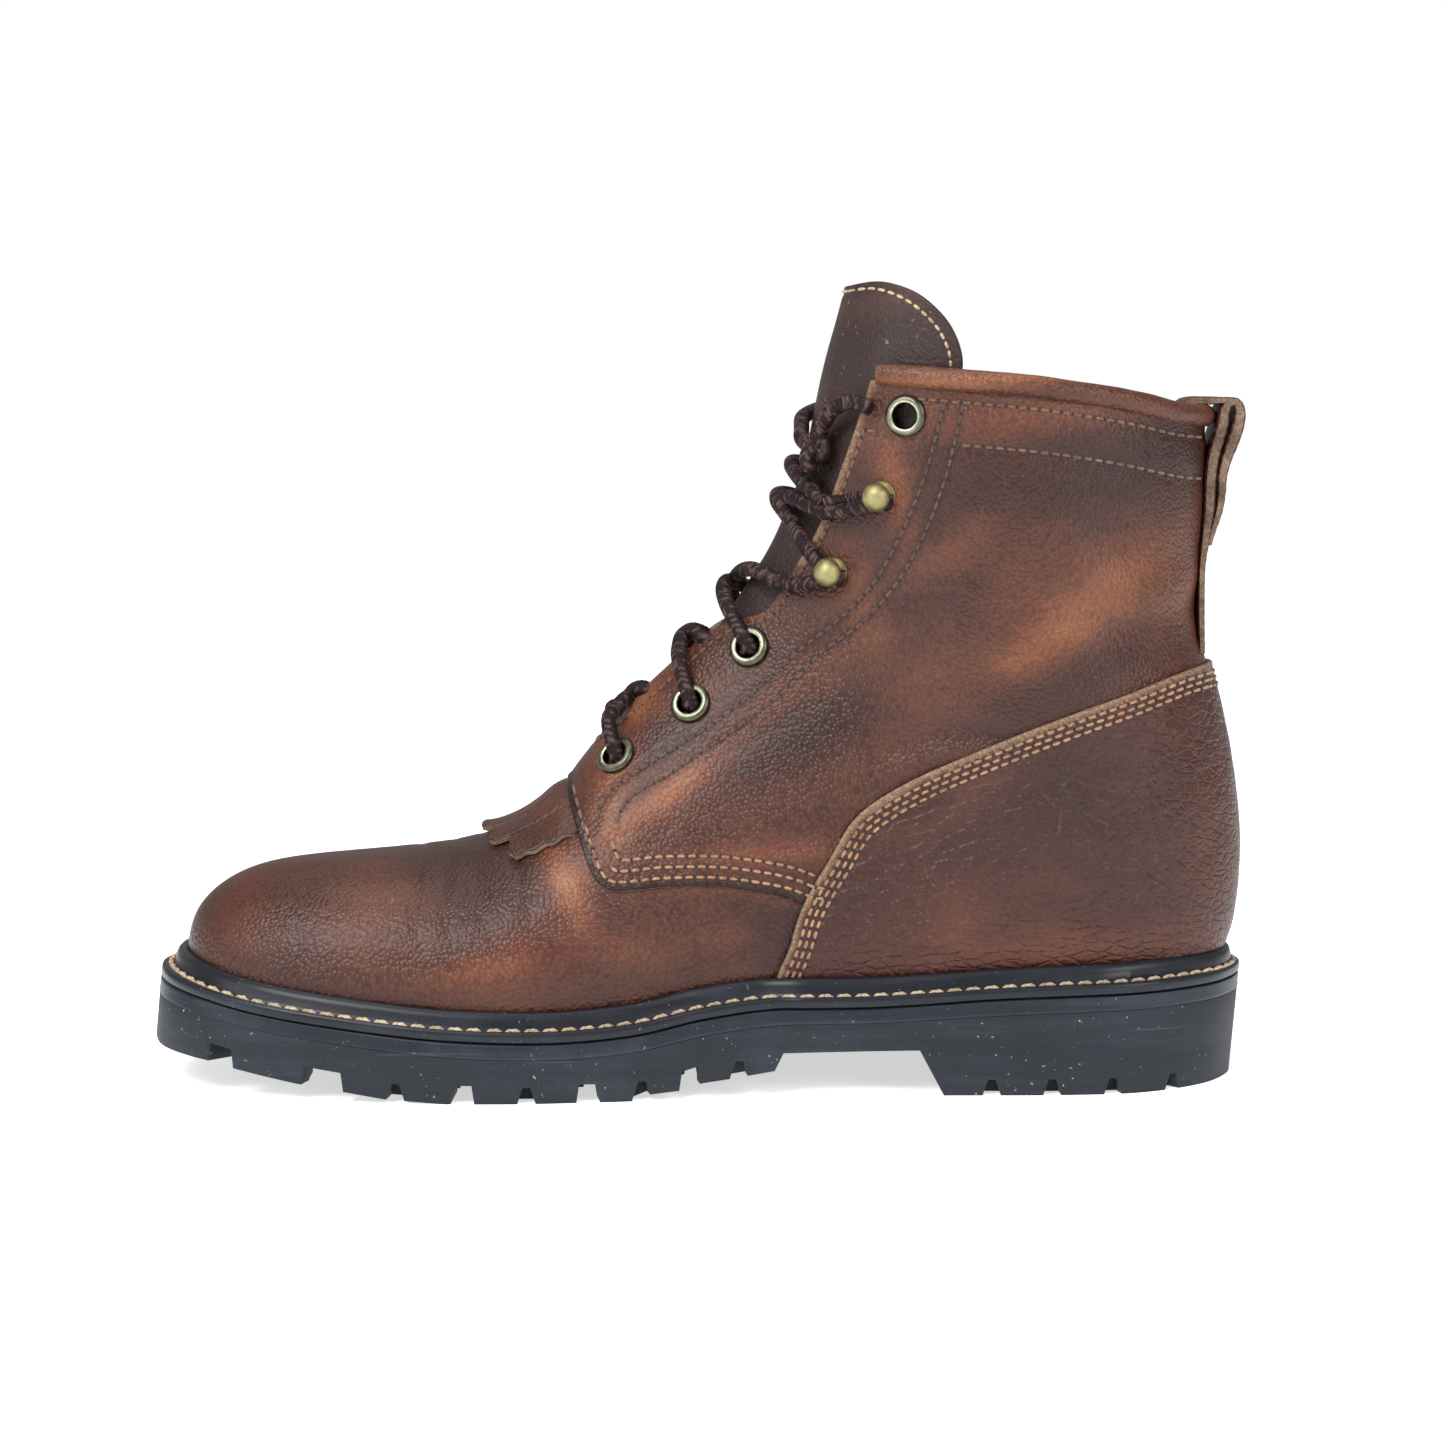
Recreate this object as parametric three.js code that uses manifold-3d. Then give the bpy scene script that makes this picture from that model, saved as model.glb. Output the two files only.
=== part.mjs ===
// A lace-up leather work boot, right foot: lugged rubber sole, storm welt, hollow upper,
// heel counter, tongue with a fringed flap, collar roll, eyelets, hooks and round laces.
// Millimetres. +X points to the toe, +Y to the inner (medial) side, +Z up.
import * as THREE from "three";
import { LoftGeometry } from "three/addons/geometries/LoftGeometry.js";
import { mergeVertices } from "three/addons/utils/BufferGeometryUtils.js";
import Module from "manifold-3d";

const wasm = await Module();
wasm.setup();

// The main sizes, which the tables below share out
const LENGTH = 300; // x shares: heel to toe of the last, a little less than the sole
const HEIGHT = 200; // z shares of the upper: floor to the collar's front end
const BALL_WIDTH = 100; // y shares: the upper over the ball of the foot
const RIM_HEIGHT = 31; // z shares of the sole: floor to the welt's top at the heel

// Thicknesses and clearances
const GAP = 0.3; // between neighbours that touch on the real boot
const WALL = 1.8; // vamp leather and lining
const OVERLAY = 1.2; // quarter leather over the vamp
const COUNTER = 1.4; // heel counter leather
const TONGUE = 2.2;
const FLAP = 1.8; // fringed flap
const INSOLE = 3;
const WELT = 3;
const MIDSOLE = 4;
const BEAD_WIDTH = 3.6; // storm bead of the welt, against the upper
const BEAD_HEIGHT = 4.6;
const ROLL_RADIUS = 3; // collar roll
const ROLL_OUT = 1; // its centre lies this far outside the middle of the wall
const ROLL_FRONT = 0.075; // share of the way round the collar where its front end is sought
const ROLL_SPOTS = 22;
const TOE_FLARE = 3; // the sole's side spreads this much on its way down at the toe
const HEEL_TAPER = 2.6; // and draws in this much at the heel

// Tread
const LUG_DEPTH = 5;
const LUG_LENGTH = 17; // how far the side lugs reach in from the edge
const CHANNEL = 4.5; // channel between the side lugs and the middle ones
const NOTCH_DEPTH = 4.4;
const NOTCH_WIDTH = 4;
const NOTCH_REACH = 7;
const NOTCH_MOUTH = 1.4; // its width at the floor and at its root, in shares of the width
const NOTCH_ROOT = 0.5;
const BELOW = -10; // blocks of the sole start this far under the floor and are cut back

// Fittings
const EYELET_RADIUS = 5.3;
const EYELET_HOLE = 3;
const EYELET_BARREL = 3.7;
const EYELET_FLANGE = 1;
const EYELET_SEAT = 0.45; // flange to leather, where the leather curves under it
const EYELET_SIDES = 8;
const EYELET_SLOPE = 0.8; // its rim slopes in this far
const HOOK_SIDES = 10;
const HOOK_BASE = 4;
const HOOK_PLATE = 0.9; // thickness of the base, and height of the cone on it
const HOOK_CONE = 1.5;
const HOOK_NECK = 2.4; // height of the stem's top, under the ball
const HOOK_BALL = 3.9;
const HOOK_DOME = { out: 0.8, down: 0.4 }; // shoulder of the ball's top, in shares of its radius
const HOOK_STEM = 1.9;
const HOOK_HEIGHT = 7.6;
const LACE = 4; // diameter
const KNOT_RADIUS = 4.5;
const LOOP_WIDTH = 19; // pull loop at the heel
const LOOP_LEATHER = 2;
const LOOP_ROOM = 2.6; // room inside for the collar's curve under the loop's edges
const LOOP_EASE = 0.4; // room outside for the hollow of the back seam
const SEAM_BACK = -0.466; // x share of the back seam at the collar
const LOOP_FOOT = 6; // the loop leaves the seam this many roll radii below the collar
const LOOP_TAIL = 5; // and its tail ends this many below it inside

// Sections of the last, from toe to above the collar. tx, tz: the section's top or front point;
// bx, bz: its bottom or back point; med, lat: half widths; low: where it is widest, counted from
// the bottom; top, bot: how square its upper and lower quarters are.
const LAST = [
  // tx, tz, bx, bz, med, lat, low, top, bot
  { tx: 0.4733, tz: 0.17, bx: 0.4733, bz: 0.17, med: 0, lat: 0, low: 0.45, top: 2, bot: 2.2 },
  { tx: 0.4697, tz: 0.212, bx: 0.4697, bz: 0.128, med: 0.11, lat: 0.105, low: 0.45, top: 2, bot: 2.2 },
  { tx: 0.458, tz: 0.242, bx: 0.458, bz: 0.093, med: 0.205, lat: 0.195, low: 0.42, top: 2.1, bot: 2.3 },
  { tx: 0.4383, tz: 0.2665, bx: 0.4383, bz: 0.073, med: 0.285, lat: 0.275, low: 0.4, top: 2.2, bot: 2.5 },
  { tx: 0.41, tz: 0.286, bx: 0.41, bz: 0.058, med: 0.35, lat: 0.345, low: 0.38, top: 2.3, bot: 2.6 },
  { tx: 0.3733, tz: 0.2975, bx: 0.3733, bz: 0.048, med: 0.396, lat: 0.405, low: 0.37, top: 2.3, bot: 2.6 },
  { tx: 0.3267, tz: 0.305, bx: 0.3267, bz: 0.039, med: 0.43, lat: 0.45, low: 0.37, top: 2.25, bot: 2.6 },
  { tx: 0.2733, tz: 0.312, bx: 0.2733, bz: 0.032, med: 0.45, lat: 0.484, low: 0.38, top: 2.15, bot: 2.6 },
  { tx: 0.2167, tz: 0.324, bx: 0.2167, bz: 0.027, med: 0.46, lat: 0.506, low: 0.38, top: 2.05, bot: 2.6 },
  { tx: 0.1633, tz: 0.3525, bx: 0.1567, bz: 0.025, med: 0.455, lat: 0.518, low: 0.38, top: 1.95, bot: 2.6 },
  { tx: 0.1233, tz: 0.4, bx: 0.0933, bz: 0.025, med: 0.435, lat: 0.51, low: 0.36, top: 1.85, bot: 2.6 },
  { tx: 0.0867, tz: 0.4675, bx: 0.02, bz: 0.0375, med: 0.4, lat: 0.49, low: 0.33, top: 1.8, bot: 2.6 },
  { tx: 0.0483, tz: 0.53, bx: -0.0667, bz: 0.055, med: 0.365, lat: 0.46, low: 0.31, top: 1.8, bot: 2.6 },
  { tx: 0.01, tz: 0.59, bx: -0.1667, bz: 0.065, med: 0.345, lat: 0.42, low: 0.3, top: 1.8, bot: 2.6 },
  { tx: -0.02, tz: 0.6425, bx: -0.28, bz: 0.07, med: 0.335, lat: 0.38, low: 0.3, top: 1.85, bot: 2.6 },
  { tx: -0.0433, tz: 0.695, bx: -0.3867, bz: 0.08, med: 0.335, lat: 0.355, low: 0.33, top: 1.9, bot: 2.5 },
  { tx: -0.0617, tz: 0.7425, bx: -0.4633, bz: 0.11, med: 0.34, lat: 0.35, low: 0.38, top: 2, bot: 2.3 },
  { tx: -0.075, tz: 0.785, bx: -0.495, bz: 0.24, med: 0.345, lat: 0.35, low: 0.45, top: 2, bot: 2.2 },
  { tx: -0.086, tz: 0.825, bx: -0.495, bz: 0.38, med: 0.35, lat: 0.35, low: 0.48, top: 2.05, bot: 2.1 },
  { tx: -0.0933, tz: 0.8675, bx: -0.4783, bz: 0.52, med: 0.35, lat: 0.35, low: 0.5, top: 2.1, bot: 2 },
  { tx: -0.0993, tz: 0.91, bx: -0.461, bz: 0.655, med: 0.355, lat: 0.355, low: 0.5, top: 2.1, bot: 2 },
  { tx: -0.1053, tz: 0.955, bx: -0.466, bz: 0.78, med: 0.36, lat: 0.36, low: 0.5, top: 2.1, bot: 2 },
  { tx: -0.1133, tz: 1.005, bx: -0.4667, bz: 0.89, med: 0.365, lat: 0.365, low: 0.5, top: 2.1, bot: 2 },
  { tx: -0.125, tz: 1.06, bx: -0.4693, bz: 0.985, med: 0.37, lat: 0.37, low: 0.5, top: 2.1, bot: 2 },
  { tx: -0.14, tz: 1.13, bx: -0.47, bz: 1.08, med: 0.375, lat: 0.375, low: 0.5, top: 2.1, bot: 2 },
];
const AROUND = 22; // points in each section

// Outline of the sole seen from above: half widths at places along its length
const OUTLINE = [
  { x: 0.483, med: 0.22, lat: 0.16 },
  { x: 0.45, med: 0.34, lat: 0.31 },
  { x: 0.4, med: 0.42, lat: 0.42 },
  { x: 0.3333, med: 0.475, lat: 0.495 },
  { x: 0.25, med: 0.51, lat: 0.55 },
  { x: 0.1667, med: 0.52, lat: 0.58 },
  { x: 0.0833, med: 0.495, lat: 0.585 },
  { x: 0, med: 0.455, lat: 0.55 },
  { x: -0.0833, med: 0.425, lat: 0.495 },
  { x: -0.1667, med: 0.41, lat: 0.455 },
  { x: -0.25, med: 0.41, lat: 0.425 },
  { x: -0.3333, med: 0.41, lat: 0.415 },
  { x: -0.4, med: 0.385, lat: 0.385 },
  { x: -0.45, med: 0.305, lat: 0.31 },
  { x: -0.4867, med: 0.19, lat: 0.19 },
];
const TOE_TIP = { x: 0.497, y: 0.03 };
const HEEL_TIP = { x: -0.509, y: 0 };
const OUTLINE_STEPS = 64;

// Side view of the sole: height of the welt's top, and of the tread or arch below it
const RIM = [
  { x: 0.51, z: 1.04 },
  { x: 0.4, z: 0.852 },
  { x: 0.335, z: 0.765 },
  { x: 0.237, z: 0.658 },
  { x: 0.174, z: 0.626 },
  { x: 0.11, z: 0.626 },
  { x: 0.048, z: 0.68 },
  { x: -0.005, z: 0.79 },
  { x: -0.068, z: 0.87 },
  { x: -0.166, z: 0.885 },
  { x: -0.29, z: 0.955 },
  { x: -0.42, z: 0.995 },
  { x: -0.515, z: 1.01 },
];
const TREAD = [
  { x: 0.52, z: 0.45 },
  { x: 0.493, z: 0.342 },
  { x: 0.443, z: 0.3 },
  { x: 0.41, z: 0.24 },
  { x: 0.357, z: 0.15 },
  { x: 0.31, z: 0.086 },
  { x: 0.277, z: 0.036 },
  { x: 0.222, z: 0 },
  { x: 0.055, z: 0 },
  { x: 0.04, z: 0.055 },
  { x: 0.013, z: 0.08 },
  { x: -0.007, z: 0.14 },
  { x: -0.035, z: 0.175 },
  { x: -0.072, z: 0.232 },
];
const ARCH_FRONT = { x: -0.08, z: 0.387 };
const ARCH_BACK = { x: -0.203, z: 0.4 };
const HEEL_BREAST = { x: -0.225, z: 0 };

// Side lugs: grooves and notches, by their place along the sole
const GROOVES = [
  { x: 0.427, width: 6 },
  { x: 0.333, width: 9.5 },
  { x: 0.207, width: 4.2 },
  { x: 0.095, width: 4.2 },
  { x: 0.004, width: 3.5 },
];
const NOTCHES = [0.267, 0.15, 0.047, -0.04, -0.268, -0.323, -0.379, -0.439];

// Side-view lines of the upper's panels, from the front edge of the facings to the heel
const FACING = [
  { x: 0.117, z: 0.404 },
  { x: 0.119, z: 0.43 },
  { x: 0.088, z: 0.481 },
  { x: 0.072, z: 0.5 },
  { x: 0.025, z: 0.562 },
  { x: -0.024, z: 0.625 },
  { x: -0.066, z: 0.65 },
  { x: -0.084, z: 0.69 },
  { x: -0.112, z: 0.76 },
  { x: -0.139, z: 0.867 },
  { x: -0.165, z: 0.991 },
];
const QUARTER_EDGE = [
  { x: -0.13, z: 0.25 },
  { x: -0.0987, z: 0.2575 },
  { x: -0.084, z: 0.2665 },
  { x: -0.0597, z: 0.274 },
  { x: -0.0237, z: 0.281 },
  { x: 0.0243, z: 0.2815 },
  { x: 0.079, z: 0.278 },
  { x: 0.0893, z: 0.29 },
  { x: 0.1017, z: 0.3305 },
  { x: 0.11, z: 0.369 },
];
const COUNTER_EDGE = [
  { x: -0.066, z: 0.05 },
  { x: -0.0743, z: 0.1615 },
  { x: -0.0843, z: 0.196 },
  { x: -0.0963, z: 0.252 },
  { x: -0.123, z: 0.321 },
  { x: -0.1447, z: 0.372 },
  { x: -0.1853, z: 0.4155 },
  { x: -0.2757, z: 0.479 },
  { x: -0.331, z: 0.512 },
  { x: -0.388, z: 0.541 },
  { x: -0.449, z: 0.5695 },
  { x: -0.5, z: 0.577 },
];
const COLLAR_LINE = [
  { x: -0.12, z: 0.993 },
  { x: -0.165, z: 0.987 },
  { x: -0.252, z: 0.977 },
  { x: -0.32, z: 0.967 },
  { x: -0.39, z: 0.95 },
  { x: -0.44, z: 0.934 },
  { x: -0.5, z: 0.926 },
];
const TONGUE_BACK = [
  { x: 0.13, z: 0.33 },
  { x: 0.05, z: 0.4 },
  { x: -0.05, z: 0.5 },
  { x: -0.12, z: 0.62 },
  { x: -0.19, z: 0.8 },
  { x: -0.235, z: 0.93 },
  { x: -0.248, z: 0.985 },
  { x: -0.237, z: 1.033 },
  { x: -0.213, z: 1.07 },
  { x: -0.19, z: 1.09 },
  { x: -0.16, z: 1.1 },
  { x: -0.13, z: 1.095 },
];
const TONGUE_FOOT = { x: 0.16, z: 0.3 };
const TONGUE_FRONT = [
  { x: 0.05, z: 1.2 },
  { x: 0.5, z: 0.6 },
];

// Fittings in side view, the same on both sides
const EYELETS = [
  { x: 0.07, z: 0.4465 },
  { x: 0.0027, z: 0.5195 },
  { x: -0.051, z: 0.598 },
  { x: -0.1903, z: 0.9165 },
];
const HOOKS = [
  { x: -0.1233, z: 0.7035 },
  { x: -0.165, z: 0.809 },
];

// The fringed flap, seen from above: half widths, and where its strips are cut apart
const FLAP_HALF = 0.27;
const FLAP_TIP = 0.196;
const FLAP_BACK = 0.1;
const FLAP_FLOOR = 0.2; // below this it has nothing
const FLAP_STRIPS = 6;
const FLAP_SLIT = 1.2;
const FLAP_SWEEP = 0.035; // the outer strips end this much further back
const STRIP_EDGE = [0.08, 0.3, 0.7, 0.92]; // points across a strip's end, in shares of its width
const SLIT_REACH = 0.9; // the slits are this share of the flap's length, half of it past the tip

// Colours from the photograph
const LOOKS = {
  leather: { color: 0x6b3f26, roughness: 0.45, metalness: 0 },
  counter: { color: 0x55301f, roughness: 0.5, metalness: 0 },
  tongue: { color: 0x3d2a24, roughness: 0.6, metalness: 0 },
  rubber: { color: 0x2b2f36, roughness: 0.75, metalness: 0 },
  welt: { color: 0x24262b, roughness: 0.5, metalness: 0 },
  insole: { color: 0x8a6a4a, roughness: 0.8, metalness: 0 },
  brass: { color: 0x8b8457, roughness: 0.35, metalness: 1 },
  lace: { color: 0x3a1c1e, roughness: 0.85, metalness: 0 },
};

const part = new THREE.Group();

// Table helpers

// Natural cubic spline through values at whole numbers; flat at its start where clamped is true.
function spline(values, clamped) {
  const n = values.length;
  const bend = new Array(n).fill(0);
  const work = new Array(n).fill(0);
  if (clamped) {
    bend[0] = -0.5;
    work[0] = 3 * (values[1] - values[0]);
  }
  for (let i = 1; i < n - 1; i++) {
    const p = 0.5 * bend[i - 1] + 2;
    bend[i] = -0.5 / p;
    const step = values[i + 1] - 2 * values[i] + values[i - 1];
    work[i] = (3 * step - 0.5 * work[i - 1]) / p;
  }
  for (let i = n - 2; i >= 0; i--) {
    bend[i] = bend[i] * bend[i + 1] + work[i];
  }
  return (t) => {
    const i = Math.min(Math.max(Math.floor(t), 0), n - 2);
    const b = t - i;
    const a = 1 - b;
    const curve = ((a ** 3 - a) * bend[i] + (b ** 3 - b) * bend[i + 1]) / 6;
    return a * values[i] + b * values[i + 1] + curve;
  };
}

// Height along a side-view table, by straight lines between its rows.
function heightAt(table, x, unit) {
  const rows = [...table].sort((a, b) => a.x - b.x);
  const share = x / LENGTH;
  let i = 1;
  while (i < rows.length - 1 && rows[i].x < share) i++;
  const a = rows[i - 1];
  const b = rows[i];
  const t = THREE.MathUtils.clamp((share - a.x) / (b.x - a.x), 0, 1);
  return THREE.MathUtils.lerp(a.z, b.z, t) * unit;
}

const rimAt = (x) => heightAt(RIM, x, RIM_HEIGHT);
const collarAt = (x) => heightAt(COLLAR_LINE, x, HEIGHT);

// Solids: closed geometry to a manifold body and back

function solid(geometry) {
  const bare = new THREE.BufferGeometry();
  bare.setAttribute("position", geometry.getAttribute("position"));
  bare.setIndex(geometry.index);
  const merged = mergeVertices(bare, 1e-4);
  const from = merged.index.array;
  const triVerts = [];
  for (let i = 0; i < from.length; i += 3) {
    const [a, b, c] = [from[i], from[i + 1], from[i + 2]];
    if (a !== b && b !== c && c !== a) triVerts.push(a, b, c);
  }
  const vertProperties = merged.attributes.position.array;
  const mesh = new wasm.Mesh({ numProp: 3, vertProperties, triVerts: new Uint32Array(triVerts) });
  const body = new wasm.Manifold(mesh);
  return body;
}

function addPart(name, body, look) {
  const mesh = body.getMesh();
  const geometry = new THREE.BufferGeometry();
  geometry.setAttribute("position", new THREE.BufferAttribute(mesh.vertProperties, 3));
  geometry.setIndex(new THREE.BufferAttribute(mesh.triVerts, 1));
  geometry.computeVertexNormals();
  const made = new THREE.Mesh(geometry, new THREE.MeshStandardMaterial(LOOKS[look]));
  made.name = name;
  part.add(made);
  return made;
}

const joined = (bodies) => bodies.reduce((sum, body) => sum.add(body));

// A prism across the boot from a side-view outline of [x, z] points in millimetres.
function sidePrism(points, halfDepth = 150, y = 0) {
  const shape = new THREE.Shape(points.map(([x, z]) => new THREE.Vector2(x, z)));
  const geometry = new THREE.ExtrudeGeometry(shape, { depth: 2 * halfDepth, bevelEnabled: false });
  geometry.rotateX(Math.PI / 2);
  geometry.translate(0, y + halfDepth, 0);
  return solid(geometry);
}

const sideOf = (table, unit = HEIGHT) => table.map(({ x, z }) => [x * LENGTH, z * unit]);

// The last

const HALVINGS = 30; // turns of a search by halves
const track = {};
for (const column of Object.keys(LAST[0])) {
  track[column] = spline(
    LAST.map((row) => row[column]),
    column === "tx" || column === "bx",
  );
}
const LAST_END = LAST.length - 1;

// A point of the last: u runs along the sections, v once around from the top, inner side first.
function lastPoint(u, v) {
  const top = new THREE.Vector2(track.tx(u) * LENGTH, track.tz(u) * HEIGHT);
  const bottom = new THREE.Vector2(track.bx(u) * LENGTH, track.bz(u) * HEIGHT);
  const angle = 2 * Math.PI * v;
  const side = Math.sin(angle);
  const along = Math.cos(angle);
  const low = track.low(u);
  const power = 2 / (along > 0 ? track.top(u) : track.bot(u));
  const width = (side > 0 ? track.med(u) : track.lat(u)) * BALL_WIDTH;
  const reach = Math.abs(along) ** power;
  const share = along > 0 ? (1 - low) * (1 - reach) : 1 - low + low * reach;
  const y = Math.sign(side) * width * Math.abs(side) ** power;
  return new THREE.Vector3(
    THREE.MathUtils.lerp(top.x, bottom.x, share),
    y,
    THREE.MathUtils.lerp(top.y, bottom.y, share),
  );
}

// The same point moved out along the surface's normal.
function formPoint(u, v, offset) {
  const step = 0.02;
  const at = THREE.MathUtils.clamp(u, 0.06, LAST_END - step);
  const along = lastPoint(at + step, v).sub(lastPoint(at - step, v));
  const around = lastPoint(at, v + step / 4).sub(lastPoint(at, v - step / 4));
  const normal = around.cross(along).normalize();
  if (u === 0) normal.set(1, 0, 0);
  return lastPoint(u, v).addScaledVector(normal, offset);
}

// Places of the sections: close together round the toe, wider elsewhere.
const STATIONS = [0, 0.4, 1, 1.7, 2.6, 3.7, 5, 6.3, 7.6, 8.9, 10, 11, 12, 13, 14, 15, 16, 17, 18, 19];
STATIONS.push(20, 21, 22.5, LAST_END);

const formCache = new Map();

function form(offset) {
  if (!formCache.has(offset)) {
    const rings = STATIONS.map((u) => {
      const ring = [];
      for (let i = 0; i < AROUND; i++) ring.push(formPoint(u, i / AROUND, offset));
      return ring;
    });
    formCache.set(offset, solid(new LoftGeometry(rings, { capEnd: true })));
  }
  return formCache.get(offset);
}

const shell = (outer, inner) => form(outer).subtract(form(inner));

// Where the last's surface passes a side-view place, on the inner (+1) or outer (-1) side.
function findOnSide(x, z, side) {
  let best = { gap: Infinity, u: 0, v: 0 };
  const seek = (u0, u1, v0, v1) => {
    const steps = 24;
    for (let i = 0; i <= steps; i++) {
      for (let j = 0; j <= steps; j++) {
        const u = THREE.MathUtils.lerp(u0, u1, i / steps);
        const v = THREE.MathUtils.lerp(v0, v1, j / steps);
        const p = lastPoint(u, side > 0 ? v : 1 - v);
        const gap = Math.hypot(p.x - x, p.z - z);
        if (gap < best.gap) best = { gap, u, v };
      }
    }
  };
  seek(1, LAST_END, 0, 0.5);
  let [du, dv] = [1.5, 0.03];
  for (let turn = 0; turn < 4; turn++) {
    const { u, v } = best;
    seek(Math.max(u - du, 0.5), Math.min(u + du, LAST_END), Math.max(v - dv, 0), v + dv);
    du /= 8;
    dv /= 8;
  }
  return { u: best.u, v: side > 0 ? best.v : 1 - best.v };
}

// A frame on the last: its place and its outward direction.
function seatOn({ x, z }, side, offset) {
  const { u, v } = findOnSide(x * LENGTH, z * HEIGHT, side);
  const foot = formPoint(u, v, offset);
  const normal = formPoint(u, v, offset + 1).sub(foot).normalize();
  return { foot, normal };
}

// Turns a body made round +Z to stand on a seat.
function standOn(body, { foot, normal }, lift) {
  const turn = new THREE.Quaternion().setFromUnitVectors(new THREE.Vector3(0, 0, 1), normal);
  const place = foot.clone().addScaledVector(normal, lift);
  const move = new THREE.Matrix4().compose(place, turn, new THREE.Vector3(1, 1, 1));
  return solid(body.clone().applyMatrix4(move));
}

// The sole

function outlinePoints(inset, flare = 0) {
  const ring = [new THREE.Vector2(TOE_TIP.x * LENGTH, TOE_TIP.y * BALL_WIDTH)];
  for (const { x, med } of OUTLINE) ring.push(new THREE.Vector2(x * LENGTH, med * BALL_WIDTH));
  ring.push(new THREE.Vector2(HEEL_TIP.x * LENGTH, HEEL_TIP.y * BALL_WIDTH));
  for (const { x, lat } of [...OUTLINE].reverse()) {
    ring.push(new THREE.Vector2(x * LENGTH, -lat * BALL_WIDTH));
  }
  const curve = new THREE.CatmullRomCurve3(
    ring.map(({ x, y }) => new THREE.Vector3(x, y, 0)),
    true,
  );
  const points = curve.getSpacedPoints(OUTLINE_STEPS).slice(0, OUTLINE_STEPS);
  return points.map((p, i) => {
    const before = points[(i + OUTLINE_STEPS - 1) % OUTLINE_STEPS];
    const after = points[(i + 1) % OUTLINE_STEPS];
    const out = new THREE.Vector3(after.y - before.y, before.x - after.x, 0).normalize().negate();
    const share = p.x / LENGTH;
    const spread = flare * (share > 0 ? TOE_FLARE : -HEEL_TAPER) * Math.min(1, 2 * Math.abs(share)) ** 2;
    return p.clone().addScaledVector(out, spread - inset);
  });
}

// A block of the sole's outline, from z low to z high; flared below the rim where asked.
function outlineBlock(inset, low, high, flared) {
  const levels = [low, high].map((z) => {
    const flare = flared ? (RIM_HEIGHT - z) / RIM_HEIGHT : 0;
    return outlinePoints(inset, flare).map((p) => new THREE.Vector3(p.x, p.y, z));
  });
  return solid(new LoftGeometry(levels, { capStart: true, capEnd: true }));
}

// All that lies between two side-view curves, given as functions of x and met at a table's rows.
function layer(lower, upper, table = RIM) {
  const half = 0.56 * LENGTH;
  const stops = [half, ...table.map(({ x }) => x * LENGTH), -half];
  const below = stops.map((x) => [x, lower(x)]);
  const above = stops.map((x) => [x, upper(x)]);
  return sidePrism([...below, ...above.reverse()]);
}

const MIDSOLE_TOP = WELT + GAP;
const OUTSOLE_TOP = MIDSOLE_TOP + MIDSOLE + GAP;
const BLOCK_TOP = 1.2 * RIM_HEIGHT; // over the highest point of the welt
const FAR = 400;

// Tread profile in side view, from the toe to the heel's back corner.
function treadProfile(raise) {
  const points = sideOf(TREAD, RIM_HEIGHT);
  const heelBack = -0.56 * LENGTH;
  const corners = [ARCH_FRONT, ARCH_BACK, HEEL_BREAST];
  points.push(...sideOf(corners, RIM_HEIGHT), [heelBack, 0]);
  return points.map(([x, z]) => [x, z + raise]);
}

function treadBlock(raise, bottom) {
  const line = treadProfile(raise);
  const front = line[0][0];
  const back = line[line.length - 1][0];
  return sidePrism([...line, [back, bottom], [front, bottom]]);
}

// A vertical bar of the tread's pattern: centre, direction, length and width seen from above.
function bar(x, y, angle, length, width) {
  const geometry = new THREE.BoxGeometry(length, width, FAR);
  geometry.rotateZ(angle);
  geometry.translate(x, y, 0);
  return solid(geometry);
}

function edgeAt(x, side) {
  const points = outlinePoints(0, 0);
  let best = points[0];
  let next = points[1];
  points.forEach((p, i) => {
    if (Math.sign(p.y || 1) === side && Math.abs(p.x - x) < Math.abs(best.x - x)) {
      best = p;
      next = points[(i + 1) % points.length];
    }
  });
  const along = next.clone().sub(best).normalize();
  return { y: best.y, angle: Math.atan2(along.y, along.x) };
}

function treadPattern() {
  const ringOuter = outlineBlock(LUG_LENGTH, -FAR / 2, FAR / 2, false);
  const ringInner = outlineBlock(LUG_LENGTH + CHANNEL, -FAR / 2, FAR / 2, false);
  const cuts = [ringOuter.subtract(ringInner)];
  const reach = LUG_LENGTH + CHANNEL / 2;
  for (const side of [1, -1]) {
    for (const { x, width } of GROOVES) {
      const edge = edgeAt(x * LENGTH, side);
      const turn = edge.angle + Math.PI / 2;
      cuts.push(bar(x * LENGTH, edge.y, turn, 2 * reach, width));
    }
  }
  for (const [i, { x, width }] of GROOVES.entries()) {
    if (i === 0) continue;
    cuts.push(bar(x * LENGTH, 0, Math.PI / 2, BALL_WIDTH - reach, width));
  }
  return joined(cuts);
}

function notch(x, side, floor) {
  const edge = edgeAt(x, side);
  const wide = NOTCH_WIDTH / 2;
  const points = [
    [-wide * NOTCH_MOUTH, -1],
    [wide * NOTCH_MOUTH, -1],
    [wide * NOTCH_ROOT, NOTCH_DEPTH],
    [-wide * NOTCH_ROOT, NOTCH_DEPTH],
  ];
  const body = sidePrism(points, NOTCH_REACH);
  return body.rotate([0, 0, THREE.MathUtils.radToDeg(edge.angle)]).translate([x, edge.y, floor]);
}

function treadHeight(x) {
  if (x < HEEL_BREAST.x * LENGTH) return 0;
  return heightAt([...TREAD, ARCH_FRONT, ARCH_BACK], x, RIM_HEIGHT);
}

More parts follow.
